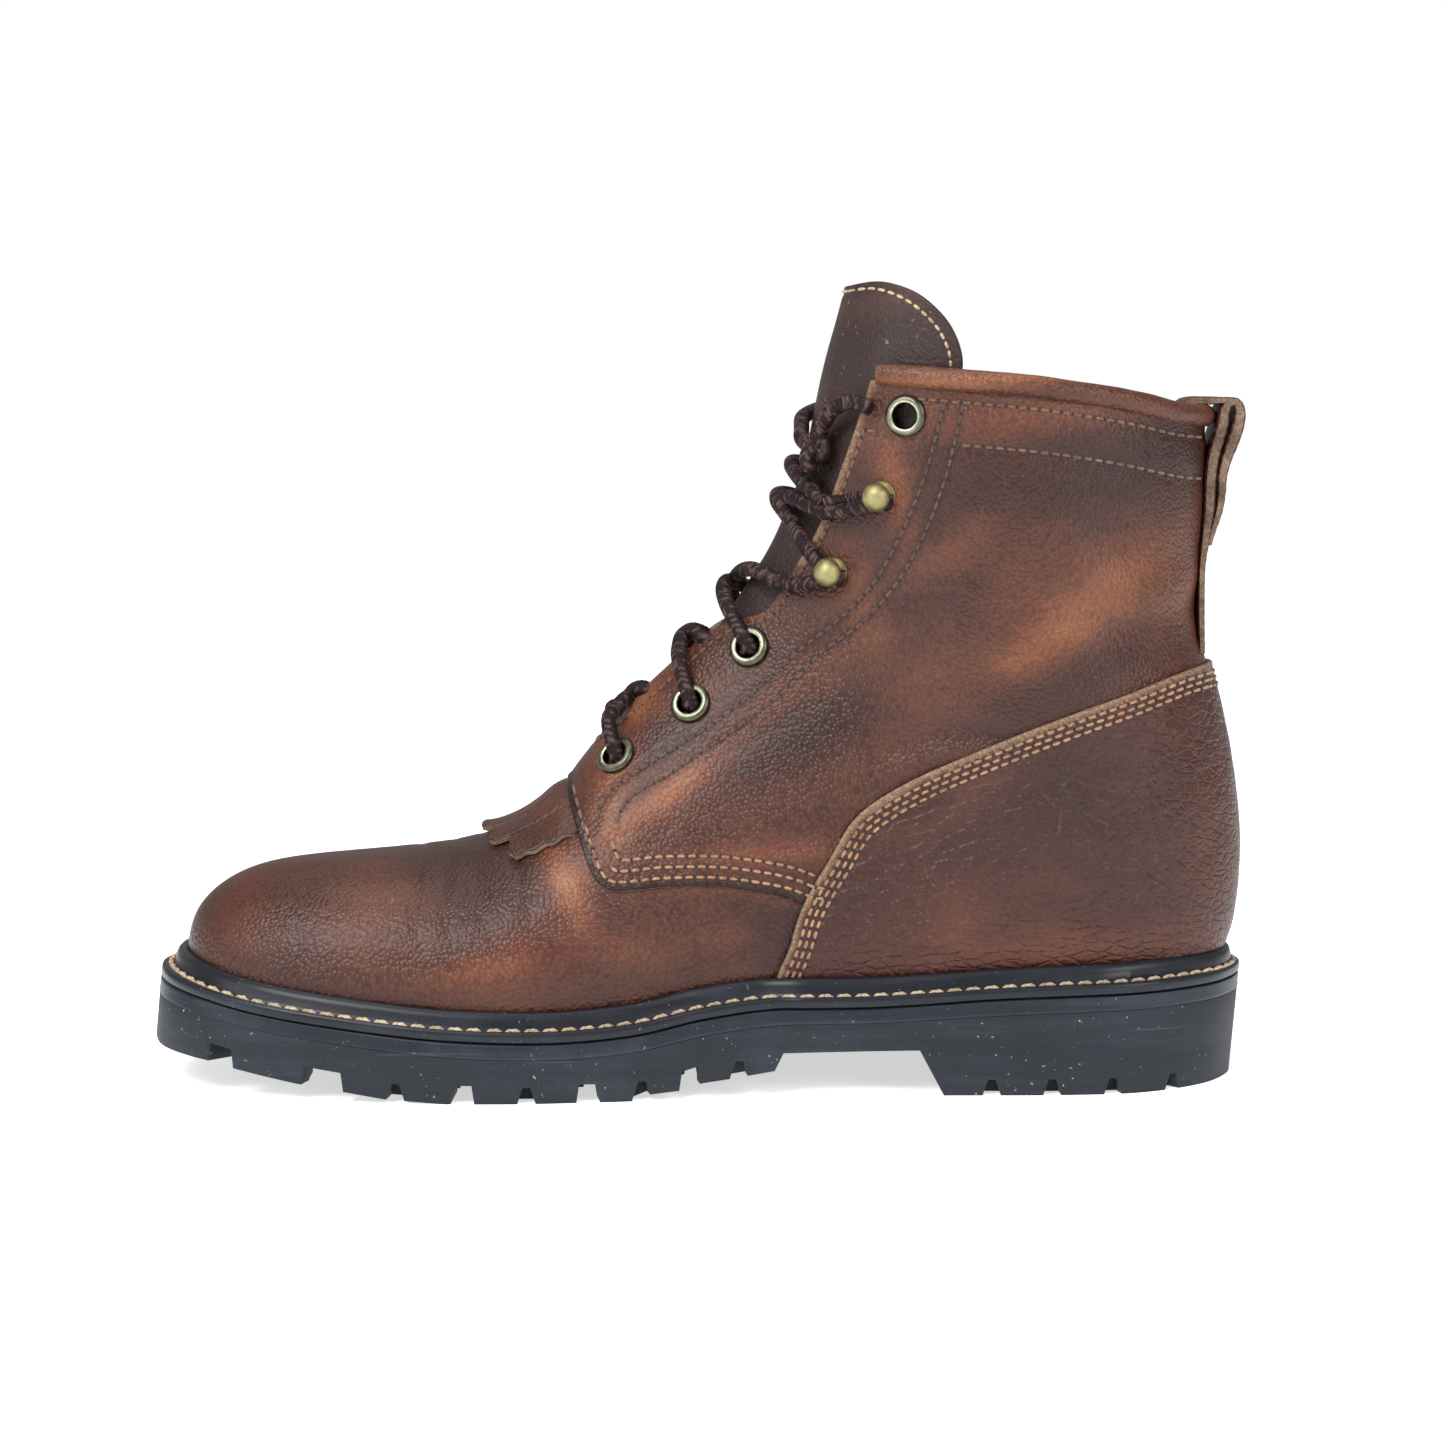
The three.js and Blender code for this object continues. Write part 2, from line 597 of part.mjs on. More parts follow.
function buildOutsole() {
  const outline = outlineBlock(0, BELOW, BLOCK_TOP, true);
  const under = (x) => rimAt(x) - OUTSOLE_TOP;
  let body = outline.intersect(layer(() => BELOW, under));
  body = body.subtract(treadBlock(0, -FAR));
  const arch = sidePrism([
    [ARCH_FRONT.x * LENGTH, -FAR],
    [ARCH_FRONT.x * LENGTH, FAR],
    [ARCH_BACK.x * LENGTH, FAR],
    [ARCH_BACK.x * LENGTH, -FAR],
  ]);
  const cuts = treadPattern().subtract(arch);
  body = body.subtract(cuts.intersect(treadBlock(LUG_DEPTH, -FAR)));
  for (const share of NOTCHES) {
    for (const side of [1, -1]) {
      const x = share * LENGTH;
      body = body.subtract(notch(x, side, treadHeight(x)));
    }
  }
  addPart("outsole", body, "rubber");
}

function buildMidsole() {
  const slab = layer(
    (x) => rimAt(x) - MIDSOLE_TOP - MIDSOLE,
    (x) => rimAt(x) - MIDSOLE_TOP,
  );
  addPart("midsole", outlineBlock(0, BELOW, BLOCK_TOP, true).intersect(slab), "rubber");
}

// Zones of the upper in side view

const seatAt = (x) => rimAt(x) - MIDSOLE_TOP + GAP;

function counterZone(grow) {
  const line = sideOf(COUNTER_EDGE).map(([x, z]) => [x + grow, z + grow]);
  const back = -0.6 * LENGTH;
  return sidePrism([...line, [back, line[line.length - 1][1]], [back, -20], [line[0][0], -20]]);
}

function quarterZone() {
  const front = sideOf([...QUARTER_EDGE, ...FACING]);
  const back = -0.6 * LENGTH;
  const start = front[0][0];
  return sidePrism([[start, -20], ...front, [start, 1.3 * HEIGHT], [back, 1.3 * HEIGHT], [back, -20]]);
}

function throatZone() {
  const line = sideOf(FACING);
  const [x, z] = line[line.length - 1];
  return sidePrism([...line, [x, 1.5 * HEIGHT], [0.3 * LENGTH, 1.5 * HEIGHT]]);
}

const RISE = 2 * ROLL_RADIUS + GAP; // the wall ends this far under the roll's top
const ROLL_CENTRE = (OVERLAY - WALL) / 2 + ROLL_OUT;

function buildUpper() {
  const base = shell(0, -WALL);
  const quarters = shell(OVERLAY, -WALL / 2).intersect(quarterZone());
  let body = base.add(quarters).subtract(throatZone());
  body = body.intersect(layer(seatAt, () => 2 * HEIGHT));
  body = body.intersect(layer(() => 0, (x) => collarAt(x) - RISE, COLLAR_LINE));
  const reach = WALL + OVERLAY + 4;
  for (const place of EYELETS) {
    for (const side of [1, -1]) {
      const drill = new THREE.CylinderGeometry(EYELET_BARREL + GAP, EYELET_BARREL + GAP, 2 * reach, 12);
      drill.rotateX(Math.PI / 2);
      body = body.subtract(standOn(drill, seatOn(place, side, 0), 0));
    }
  }
  addPart("upper", body, "leather");
}

function buildCounter() {
  const inner = OVERLAY + GAP;
  const body = shell(inner + COUNTER, inner).intersect(counterZone(0));
  addPart("heel_counter", body.intersect(layer(seatAt, () => HEIGHT)), "counter");
}

function buildWelt() {
  const plate = outlineBlock(0, BELOW, BLOCK_TOP, true).intersect(
    layer((x) => rimAt(x) - WELT, rimAt),
  );
  const counterOut = OVERLAY + GAP + COUNTER;
  const zone = counterZone(GAP);
  const around = (offset) => form(offset).add(form(counterOut + offset).intersect(zone));
  const level = layer(
    (x) => rimAt(x) - WELT / 2,
    (x) => rimAt(x) + BEAD_HEIGHT,
  );
  const bead = around(GAP + BEAD_WIDTH).intersect(level);
  addPart("welt", plate.add(bead).subtract(around(GAP)), "welt");
}

function buildInsole() {
  const slab = layer(seatAt, (x) => seatAt(x) + INSOLE);
  addPart("insole", form(-WALL - GAP).intersect(slab), "insole");
}

function buildTongue() {
  const outer = -Math.max(WALL, ROLL_RADIUS - ROLL_CENTRE) - GAP;
  const line = sideOf(TONGUE_BACK);
  const zone = sidePrism([...sideOf([TONGUE_FOOT]), ...line, ...sideOf(TONGUE_FRONT)]);
  addPart("tongue", shell(outer, outer - TONGUE).intersect(zone), "tongue");
}

function buildFlap() {
  const tip = FLAP_TIP * LENGTH;
  const back = FLAP_BACK * LENGTH;
  const half = FLAP_HALF * BALL_WIDTH;
  const width = (2 * half) / FLAP_STRIPS;
  const edge = [];
  for (let i = 0; i < FLAP_STRIPS; i++) {
    for (const [j, share] of STRIP_EDGE.entries()) {
      const y = -half + (i + share) * width;
      const sweep = FLAP_SWEEP * LENGTH * (y / half) ** 2;
      const round = j === 1 || j === 2 ? 0 : width / 4;
      edge.push(new THREE.Vector2(tip - sweep - round, y));
    }
  }
  const shape = new THREE.Shape([new THREE.Vector2(back, -half), ...edge, new THREE.Vector2(back, half)]);
  const geometry = new THREE.ExtrudeGeometry(shape, { depth: HEIGHT, bevelEnabled: false });
  geometry.translate(0, 0, FLAP_FLOOR * HEIGHT);
  let body = shell(GAP + FLAP, GAP).intersect(solid(geometry));
  const line = sideOf([...QUARTER_EDGE.slice(-4), ...FACING.slice(0, 3)]).map(([x, z]) => [x + GAP * 2, z]);
  const behind = sidePrism([...line, [-LENGTH, line[line.length - 1][1]], [-LENGTH, 0], [line[0][0], 0]]);
  body = body.subtract(behind).subtract(throatZone());
  for (let i = 1; i < FLAP_STRIPS; i++) {
    const y = -half + i * width;
    const cut = new THREE.BoxGeometry((tip - back) * SLIT_REACH, FLAP_SLIT, HEIGHT * 2);
    cut.translate(tip, y, 0);
    body = body.subtract(solid(cut));
  }
  addPart("fringe_flap", body, "leather");
}

function buildCollarRoll() {
  const points = [];
  for (let i = 0; i <= ROLL_SPOTS; i++) {
    const v = THREE.MathUtils.lerp(ROLL_FRONT, 1 - ROLL_FRONT, i / ROLL_SPOTS);
    let [low, high] = [LAST_END - 8, LAST_END];
    for (let turn = 0; turn < HALVINGS; turn++) {
      const middle = (low + high) / 2;
      const p = formPoint(middle, v, ROLL_CENTRE);
      if (p.z > collarAt(p.x) - ROLL_RADIUS) high = middle;
      else low = middle;
    }
    points.push(formPoint(low, v, ROLL_CENTRE));
  }
  const front = FACING[FACING.length - 1].x * LENGTH;
  const kept = points.filter((p) => p.x < front + 1);
  const path = new THREE.CatmullRomCurve3(kept);
  const shape = new THREE.Shape();
  shape.absarc(0, 0, ROLL_RADIUS, 0, 2 * Math.PI);
  const options = { steps: 20, curveSegments: 4, bevelEnabled: false, extrudePath: path };
  addPart("collar_roll", solid(new THREE.ExtrudeGeometry(shape, options)), "leather");
}

// The loop's way round the collar roll, counted from the roll's centre: x and z in shares of the
// ring that the strip's middle makes round the roll, out in millimetres.
const LOOP_PATH = [
  { x: -1, z: -2, out: -1.5 },
  { x: -1, z: -0.33, out: -5 },
  { x: -0.8, z: 0.85, out: 0 },
  { x: 0, z: 1, out: 0 },
  { x: 0.7, z: 0.7, out: LOOP_ROOM },
  { x: 1, z: -0.5, out: LOOP_ROOM },
];

// The pull loop: a leather strip up the back seam, over the collar roll and down inside.
function buildPullLoop() {
  const back = (z, offset) => {
    let [low, high] = [LAST_END - 10, LAST_END];
    for (let turn = 0; turn < HALVINGS; turn++) {
      const middle = (low + high) / 2;
      if (formPoint(middle, 0.5, offset).z > z) high = middle;
      else low = middle;
    }
    return formPoint(low, 0.5, offset);
  };
  const collar = collarAt(SEAM_BACK * LENGTH);
  const foot = COUNTER_EDGE[COUNTER_EDGE.length - 1].z * HEIGHT + 2;
  const out = OVERLAY + GAP + LOOP_LEATHER / 2 + LOOP_EASE;
  const centre = back(collar - ROLL_RADIUS, ROLL_CENTRE);
  const ring = ROLL_RADIUS + GAP + LOOP_LEATHER / 2;
  const inner = WALL + GAP + LOOP_LEATHER / 2 + LOOP_ROOM;
  const loopFoot = collar - LOOP_FOOT * ROLL_RADIUS;
  const seam = [0, 0.33, 0.67, 1].map((share) => back(THREE.MathUtils.lerp(foot, loopFoot, share), out));
  const spots = [
    ...seam,
    ...LOOP_PATH.map(({ x, z, out: away }) => {
      return new THREE.Vector3(centre.x + x * ring + away, 0, centre.z + z * ring);
    }),
    back(collar - LOOP_TAIL * ROLL_RADIUS, -inner),
  ];
  const path = new THREE.CatmullRomCurve3(spots).getPoints(30);
  const sides = [1, -1].map((sign) =>
    path.map((p, i) => {
      const before = path[Math.max(i - 1, 0)];
      const after = path[Math.min(i + 1, path.length - 1)];
      const normal = new THREE.Vector2(before.z - after.z, after.x - before.x).normalize();
      return [p.x + (sign * normal.x * LOOP_LEATHER) / 2, p.z + (sign * normal.y * LOOP_LEATHER) / 2];
    }),
  );
  addPart("pull_loop", sidePrism([...sides[0], ...sides[1].reverse()], LOOP_WIDTH / 2), "leather");
}

// Eyelets and hooks

function ringGeometry(profile, segments) {
  const points = profile.map(([radius, z]) => new THREE.Vector2(radius, z));
  return new THREE.LatheGeometry(points, segments).rotateX(Math.PI / 2);
}

function sideName(side) {
  return side > 0 ? "inner" : "outer";
}

function buildEyelets() {
  const depth = OVERLAY + WALL - GAP;
  const profile = [
    [EYELET_HOLE, -depth],
    [EYELET_BARREL, -depth],
    [EYELET_BARREL, 0],
    [EYELET_RADIUS, 0],
    [EYELET_RADIUS - EYELET_SLOPE, EYELET_FLANGE],
    [EYELET_HOLE, EYELET_FLANGE],
    [EYELET_HOLE, -depth],
  ];
  for (const [i, place] of EYELETS.entries()) {
    for (const side of [1, -1]) {
      const body = standOn(ringGeometry(profile, EYELET_SIDES), seatOn(place, side, OVERLAY), EYELET_SEAT);
      addPart(`eyelet_${sideName(side)}_${i + 1}`, body, "brass");
    }
  }
}

function buildHooks() {
  const top = HOOK_HEIGHT;
  const profile = [
    [0, 0],
    [HOOK_BASE, 0],
    [HOOK_BASE, HOOK_PLATE],
    [HOOK_STEM, HOOK_CONE],
    [HOOK_STEM, HOOK_NECK],
    [HOOK_BALL, top - HOOK_BALL],
    [HOOK_BALL * HOOK_DOME.out, top - HOOK_BALL * HOOK_DOME.down],
    [0, top],
  ];
  for (const [i, place] of HOOKS.entries()) {
    for (const side of [1, -1]) {
      const body = standOn(ringGeometry(profile, HOOK_SIDES), seatOn(place, side, OVERLAY), GAP);
      addPart(`hook_${sideName(side)}_${i + 1}`, body, "brass");
    }
  }
}

// Laces

// A round strand through points that lie on the last, lifted above the facings.
function strand(points, diameter = LACE) {
  const path = new THREE.CatmullRomCurve3(points);
  const shape = new THREE.Shape();
  shape.absarc(0, 0, diameter / 2, 0, 2 * Math.PI);
  const steps = Math.max(4, Math.round(path.getLength() / (3.5 * diameter)));
  const options = { steps, curveSegments: 4, bevelEnabled: false, extrudePath: path };
  return solid(new THREE.ExtrudeGeometry(shape, options));
}

const laceLift = OVERLAY + GAP + LACE / 2;

// Lace rows: from a lower fitting across the tongue to the far edge beside the next one up.
const LACE_ROWS = [
  { from: EYELETS[0], to: { x: 0.04, z: 0.54 } },
  { from: EYELETS[1], to: { x: -0.012, z: 0.61 } },
  { from: EYELETS[2], to: { x: -0.101, z: 0.712 } },
  { from: HOOKS[0], to: { x: -0.118, z: 0.79 } },
];
const LACE_START = 0.16; // strands begin this share of their way from the fitting
const TOP_START = 0.15;
const KNOT_FOOT = { u: 18.2, v: 0.055 }; // where on the last both top strands meet

// Routes of the loose lace, millimetres
const KNOT = [-29.2, 12.6, 173.6];
const LACE_END_INNER = [
  [-32, 15.5, 176.3],
  [-33.8, 17.5, 178.3],
  [-35.2, 19.8, 181.5],
  [-36.8, 22.3, 184.4],
  [-39, 24.6, 186],
  [-41.7, 27.2, 186.9],
  [-44.4, 29.5, 186.6],
  [-47, 31.2, 185.3],
];
const LACE_END_OUTER = [
  [-29.2, 9.2, 177],
  [-29.3, 6, 179.4],
  [-29.4, 0, 181.3],
  [-29.8, -5, 182.3],
  [-31, -10, 183.2],
  [-33, -14.8, 184.1],
  [-35.8, -19.4, 185],
  [-38.8, -24, 186],
  [-42.6, -28.2, 186.6],
  [-46.8, -31.2, 185.3],
];

function crossing(row, side) {
  const a = findOnSide(row.from.x * LENGTH, row.from.z * HEIGHT, side);
  const b = findOnSide(row.to.x * LENGTH, row.to.z * HEIGHT, -side);
  const wrap = (v, s) => (s > 0 ? v : v - 1);
  const [va, vb] = [wrap(a.v, side), wrap(b.v, -side)];
  const points = [];
  for (let i = 0; i <= 6; i++) {
    const t = THREE.MathUtils.lerp(LACE_START, 1, i / 6);
    const u = THREE.MathUtils.lerp(a.u, b.u, t);
    const v = THREE.MathUtils.lerp(va, vb, t);
    points.push(formPoint(u, v, laceLift));
  }
  return strand(points);
}

// The strand from a top hook to the foot of the knot.
function topStrand(side) {
  const a = findOnSide(HOOKS[1].x * LENGTH, HOOKS[1].z * HEIGHT, side);
  const start = side > 0 ? a.v : a.v - 1;
  const points = [];
  for (let i = 0; i <= 5; i++) {
    const t = THREE.MathUtils.lerp(TOP_START, 1, i / 5);
    const u = THREE.MathUtils.lerp(a.u, KNOT_FOOT.u, t);
    points.push(formPoint(u, THREE.MathUtils.lerp(start, KNOT_FOOT.v, t), laceLift));
  }
  return strand(points);
}

function buildLaces() {
  for (const [i, row] of LACE_ROWS.entries()) {
    const body = crossing(row, 1).add(crossing(row, -1));
    addPart(`lace_crossing_${i + 1}`, body, "lace");
  }
  addPart(`lace_crossing_${LACE_ROWS.length + 1}`, topStrand(1).add(topStrand(-1)), "lace");
}

// The loose cord: the knot over the tongue, and both ends up to the facings by the top eyelets
function buildLooseLace() {
  const knot = new THREE.SphereGeometry(KNOT_RADIUS, 10, 7);
  knot.translate(...KNOT);
  addPart("lace_knot", solid(knot), "lace");
  const route = (points) => strand(points.map((p) => new THREE.Vector3(...p)));
  addPart("lace_end_inner", route(LACE_END_INNER), "lace");
  addPart("lace_end_outer", route(LACE_END_OUTER), "lace");
}

buildOutsole();
buildMidsole();
buildWelt();
buildInsole();
buildUpper();
buildCounter();
buildTongue();
buildFlap();
buildCollarRoll();
buildPullLoop();
buildEyelets();
buildHooks();
buildLaces();

// The origin: under the middle of the boot, on the floor, measured before the loose lace is added
const box = new THREE.Box3().setFromObject(part);
const middle = box.getCenter(new THREE.Vector3());
part.position.set(-middle.x, -middle.y, -box.min.z);
buildLooseLace();

export default part;
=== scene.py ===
import math
import bmesh
import bpy
import numpy as np
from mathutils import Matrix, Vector
from mathutils.bvhtree import BVHTree


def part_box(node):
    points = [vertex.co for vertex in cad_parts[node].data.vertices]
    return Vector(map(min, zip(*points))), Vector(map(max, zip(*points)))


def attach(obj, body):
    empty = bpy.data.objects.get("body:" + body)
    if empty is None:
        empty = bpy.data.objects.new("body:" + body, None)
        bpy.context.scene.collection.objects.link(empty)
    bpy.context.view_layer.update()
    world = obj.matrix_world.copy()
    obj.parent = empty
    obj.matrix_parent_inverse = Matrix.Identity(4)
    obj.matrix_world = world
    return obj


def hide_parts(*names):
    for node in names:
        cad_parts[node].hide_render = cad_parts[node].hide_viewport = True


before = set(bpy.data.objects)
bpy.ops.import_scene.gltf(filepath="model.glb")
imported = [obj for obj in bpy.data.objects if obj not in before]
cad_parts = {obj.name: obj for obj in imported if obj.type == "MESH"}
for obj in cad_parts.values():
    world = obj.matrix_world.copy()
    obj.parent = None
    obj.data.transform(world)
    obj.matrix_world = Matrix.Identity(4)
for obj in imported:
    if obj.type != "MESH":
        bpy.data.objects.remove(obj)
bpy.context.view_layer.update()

# The main sizes, which the tables below share out
LENGTH = 300.0
HEIGHT = 200.0
BALL_WIDTH = 100.0
RIM_HEIGHT = 31.0

# Thicknesses and fittings
GAP = 0.3
WALL = 1.8
OVERLAY = 1.2
COUNTER = 1.4
TONGUE = 2.2
FLAP = 1.8
WELT = 3.0
MIDSOLE = 4.0
BEAD_WIDTH = 3.6
BEAD_HEIGHT = 4.6
ROLL_RADIUS = 3.0
ROLL_OUT = 1.0
TOE_FLARE = 3.0
HEEL_TAPER = 2.6
LUG_DEPTH = 5.0
LUG_LENGTH = 17.0
CHANNEL = 4.5
NOTCH_DEPTH = 4.4
NOTCH_WIDTH = 4.0
NOTCH_REACH = 7.0
LACE = 4.1
LOOP_WIDTH = 19.0

# The loose lace, repeated from the part's source
KNOT = (-29.2, 12.6, 173.6)
LACE_END_INNER = [
    (-32, 15.5, 176.3), (-33.8, 17.5, 178.3), (-35.2, 19.8, 181.5), (-36.8, 22.3, 184.4),
    (-39, 24.6, 186), (-41.7, 27.2, 186.9), (-44.4, 29.5, 186.6), (-47, 31.2, 185.3),
]
LACE_END_OUTER = [
    (-29.2, 9.2, 177), (-29.3, 6, 179.4), (-29.4, 0, 181.3), (-29.8, -5, 182.3), (-31, -10, 183.2),
    (-33, -14.8, 184.1), (-35.8, -19.4, 185), (-38.8, -24, 186), (-42.6, -28.2, 186.6),
    (-46.8, -31.2, 185.3),
]

# The part's own axes sit this far from the row's origin
low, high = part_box("lace_knot")
SHIFT = np.array([(low[i] + high[i]) / 2 for i in range(3)]) - np.array(KNOT) / 1000


def to_metres(points):
    return np.asarray(points, float) / 1000 + SHIFT


def make_camera():
    # A long lens a metre away, level with the collar and looking a little down
    eye = Vector(to_metres((-7.5, 1000, 195)))
    aim = Vector(to_metres((-7.5, 0, 97.6)))
    data = bpy.data.cameras.new("camera")
    data.sensor_width = 36
    data.lens = 89.6
    data.clip_end = 20
    camera = bpy.data.objects.new("camera", data)
    camera.location = eye
    camera.rotation_euler = (aim - eye).to_track_quat("-Z", "Y").to_euler()
    bpy.context.scene.collection.objects.link(camera)
    bpy.context.scene.camera = camera


make_camera()

# Materials


def rgb(red, green, blue):
    """A colour as it shows on a screen, turned into the renderer's linear values."""
    shares = [value / 255 for value in (red, green, blue)]
    return tuple(s / 12.92 if s <= 0.04045 else ((s + 0.055) / 1.055) ** 2.4 for s in shares)


class Nodes:
    """A material's node tree with short calls."""

    def __init__(self, name):
        self.material = bpy.data.materials.new(name)
        self.material.use_nodes = True
        self.tree = self.material.node_tree
        self.shader = self.tree.nodes["Principled BSDF"]
        self.place = self.node("TexCoord").outputs["Object"]

    def put(self, socket, value):
        if isinstance(value, bpy.types.NodeSocket):
            self.tree.links.new(value, socket)
        else:
            socket.default_value = value

    def node(self, kind, **inputs):
        node = self.tree.nodes.new("ShaderNode" + kind)
        for name, value in inputs.items():
            self.put(node.inputs[name], value)
        return node

    def attribute(self, name):
        node = self.node("Attribute")
        node.attribute_name = name
        return node.outputs["Fac"]

    def stretch(self, scale, turn=(0, 0, 0)):
        return self.node("Mapping", Vector=self.place, Scale=scale, Rotation=turn).outputs[0]

    def noise(self, size_mm, detail=3, rough=0.55, distortion=0.0, source=None):
        node = self.node("TexNoise", Vector=source or self.place, Scale=1000 / size_mm)
        for name, value in (("Detail", detail), ("Roughness", rough), ("Distortion", distortion)):
            node.inputs[name].default_value = value
        return node.outputs["Fac"]

    def cells(self, size_mm, feature, source=None):
        node = self.node("TexVoronoi", Vector=source or self.place, Scale=1000 / size_mm)
        node.feature = feature
        if feature == "SMOOTH_F1":
            node.inputs["Smoothness"].default_value = 0.3
        return node.outputs["Distance"]

    def math(self, operation, *values):
        node = self.node("Math")
        node.operation = operation
        for socket, value in zip(node.inputs, values):
            self.put(socket, value)
        return node.outputs[0]

    def total(self, start, *parts, middle=0.0):
        """The start plus, for each part, its distance from the middle times its weight."""
        for value, weight in parts:
            start = self.math("MULTIPLY_ADD", value, weight, start)
            if middle:
                start = self.math("SUBTRACT", start, middle * weight)
        return start

    def ramp(self, source, *stops):
        """Each stop is its position and a grey share, or its position and a screen colour."""
        node = self.node("ValToRGB", Fac=source)
        ramp = node.color_ramp
        while len(ramp.elements) < len(stops):
            ramp.elements.new(0.5)
        for element, (position, *shade) in zip(ramp.elements, stops):
            element.position = position
            element.color = (*(rgb(*shade) if len(shade) == 3 else shade * 3), 1)
        return node.outputs["Color"]

    def spots(self, source, low, high):
        return self.ramp(source, (0.0, 0.0), (low, 0.0), (high, 1.0))

    def mix(self, factor, a, b):
        node = self.node("Mix")
        node.data_type = "RGBA"
        self.put(node.inputs[0], factor)
        for socket, value in ((node.inputs[6], a), (node.inputs[7], b)):
            self.put(socket, value if isinstance(value, bpy.types.NodeSocket) else (*value, 1))
        return node.outputs[2]

    def finish(self, color, rough, bumps=(), **constants):
        """Fills the shader. Bumps are (height, strength, depth in mm), laid on each other."""
        self.put(self.shader.inputs["Base Color"], color)
        self.put(self.shader.inputs["Roughness"], rough)
        normal = None
        for height, strength, depth_mm in bumps:
            node = self.node("Bump", Strength=strength, Distance=depth_mm / 1000, Height=height)
            if normal is not None:
                self.put(node.inputs["Normal"], normal)
            normal = node.outputs["Normal"]
        if normal is not None:
            self.put(self.shader.inputs["Normal"], normal)
        for name, value in constants.items():
            self.shader.inputs[name.replace("_", " ")].default_value = value
        return self.material


def leather(name, stops, grain, gloss, wrinkle=0.0, specks=0.0):
    """Waxed leather that pulls up lighter where it is stretched. The tone of each place is in the
    mesh, with some painted highlights of sheen and painted shade in seams and undercuts among it; noise
    breaks it up, and the grain is fine cells with pores."""
    made = Nodes(name)
    cloud = made.noise(26, 5, 0.6, 0.6)
    streak = made.noise(9, 4, 0.6, 0.3, made.stretch((0.5, 1, 1.7), (0, 0.6, 0)))
    fine = made.noise(1.1, 3, 0.6)
    cells = made.cells(1.05, "SMOOTH_F1")
    pores = made.noise(0.42, 2, 0.5)
    scratch = made.noise(2.6, 2, 0.4, 0.8, made.stretch((1.0, 1.0, 0.16), (0, 0.25, 0.2)))
    scratch = made.spots(scratch, 0.7, 0.78)
    tone = made.attribute("tone")
    tone = made.total(tone, (cloud, 0.24), (streak, 0.2), (fine, 0.1), middle=0.5)
    color = made.ramp(made.total(tone, (cells, -0.2 * grain)), *stops)
    color = made.mix(made.math("MULTIPLY", made.attribute("red"), 0.5), color, rgb(96, 30, 20))
    scuffs = made.math("MULTIPLY", made.attribute("scuff"), scratch)
    color = made.mix(made.math("MULTIPLY", scuffs, 0.6), color, rgb(134, 90, 62))
    if specks:
        dots = made.spots(made.noise(1.6, 2, 0.5), 0.7, 0.74)
        color = made.mix(made.math("MULTIPLY", dots, specks), color, rgb(150, 120, 92))
    fibres = made.ramp(made.noise(0.8, 3, 0.6), (0.3, 88, 66, 50), (0.7, 160, 130, 102))
    color = made.mix(made.attribute("rim"), color, fibres)
    pebbles = made.math("SUBTRACT", 1.0, cells)
    bumps = [(pebbles, 0.6 * grain, 0.5), (pores, 0.25 * grain, 0.12), (scratch, 0.05, 0.1)]
    if wrinkle:
        edges = made.cells(3.2, "DISTANCE_TO_EDGE", made.stretch((0.5, 1, 1.35), (0, 0.5, 0)))
        bumps.append((made.ramp(edges, (0.0, 0.0), (0.16, 1.0)), wrinkle, 0.5))
        bumps.append((made.noise(7, 2, 0.5, 0.4), 0.3 * wrinkle, 2.0))
    rough = made.total(made.total(gloss, (cloud, 0.22), middle=0.5), (fine, 0.1))
    coat = {"Specular_IOR_Level": 0.3, "Coat_Weight": 0.06, "Coat_Roughness": 0.26}
    return made.finish(color, rough, bumps, **coat)


def fibrous(name, fine, patch, share, stops, rough, bump, sheen=0.0):
    """Raw leather, lining or thread: a fine noise, its share of the tone, and larger patches."""
    made = Nodes(name)
    nap = made.noise(*fine)
    tone = made.total(0.0, (nap, share), (made.noise(*patch), 1 - share))
    return made.finish(made.ramp(tone, *stops), rough, [(nap, *bump)], Sheen_Weight=sheen)


def thread(name, dark, light):
    stops = ((0.35, *dark), (0.65, *light))
    return fibrous(name, (0.5, 2, 0.6), (9, 2, 0.5), 0.6, stops, 0.75, (0.5, 0.15), 0.2)


def rubber(name, stops, rough, fleck, grain):
    """Moulded rubber: fine matt grain, faint streaks along the sole and light specks of dust."""
    made = Nodes(name)
    cloud = made.noise(18, 4, 0.6)
    streak = made.noise(3, 3, 0.6, 0.2, made.stretch((0.06, 0.06, 1.0)))
    fine = made.noise(0.45, 3, 0.7)
    color = made.ramp(made.total(0.0, (cloud, 0.4), (streak, 0.4), (fine, 0.2)), *stops)
    dusty = made.ramp(made.noise(22, 2), (0.35, 0.0), (0.6, 1.0))
    dust = made.math("MULTIPLY", made.spots(made.noise(1.3, 2, 0.6), 0.7, 0.73), dusty)
    color = made.mix(made.math("MULTIPLY", dust, fleck), color, rgb(168, 172, 176))
    scrape = made.noise(4, 2, 0.4, 0.5, made.stretch((0.08, 0.08, 2.6), (0, 0.12, 0)))
    scrape = made.spots(scrape, 0.73, 0.77)
    color = made.mix(made.math("MULTIPLY", scrape, 0.18 * fleck), color, rgb(120, 126, 134))
    bumps = [(fine, grain, 0.12), (streak, 0.12, 0.3), (scrape, 0.1, 0.1)]
    return made.finish(color, made.total(rough, (cloud, 0.16)), bumps, Specular_IOR_Level=0.28)


def brass(name, stops, rough):
    """Antique brass: green-brown in the hollows, rubbed bright on the rims. On the ball hooks the tone also
    carries a painted highlight towards the ball's outer tip.
    """
    made = Nodes(name)
    patch = made.noise(1.9, 4, 0.65)
    fine = made.noise(0.5, 2, 0.6)
    color = made.ramp(made.total(made.attribute("tone"), (patch, 0.5)), *stops)
    bumps = [(patch, 0.12, 0.15), (fine, 0.1, 0.05)]
    return made.finish(color, made.total(rough, (patch, 0.25)), bumps, Metallic=1.0)


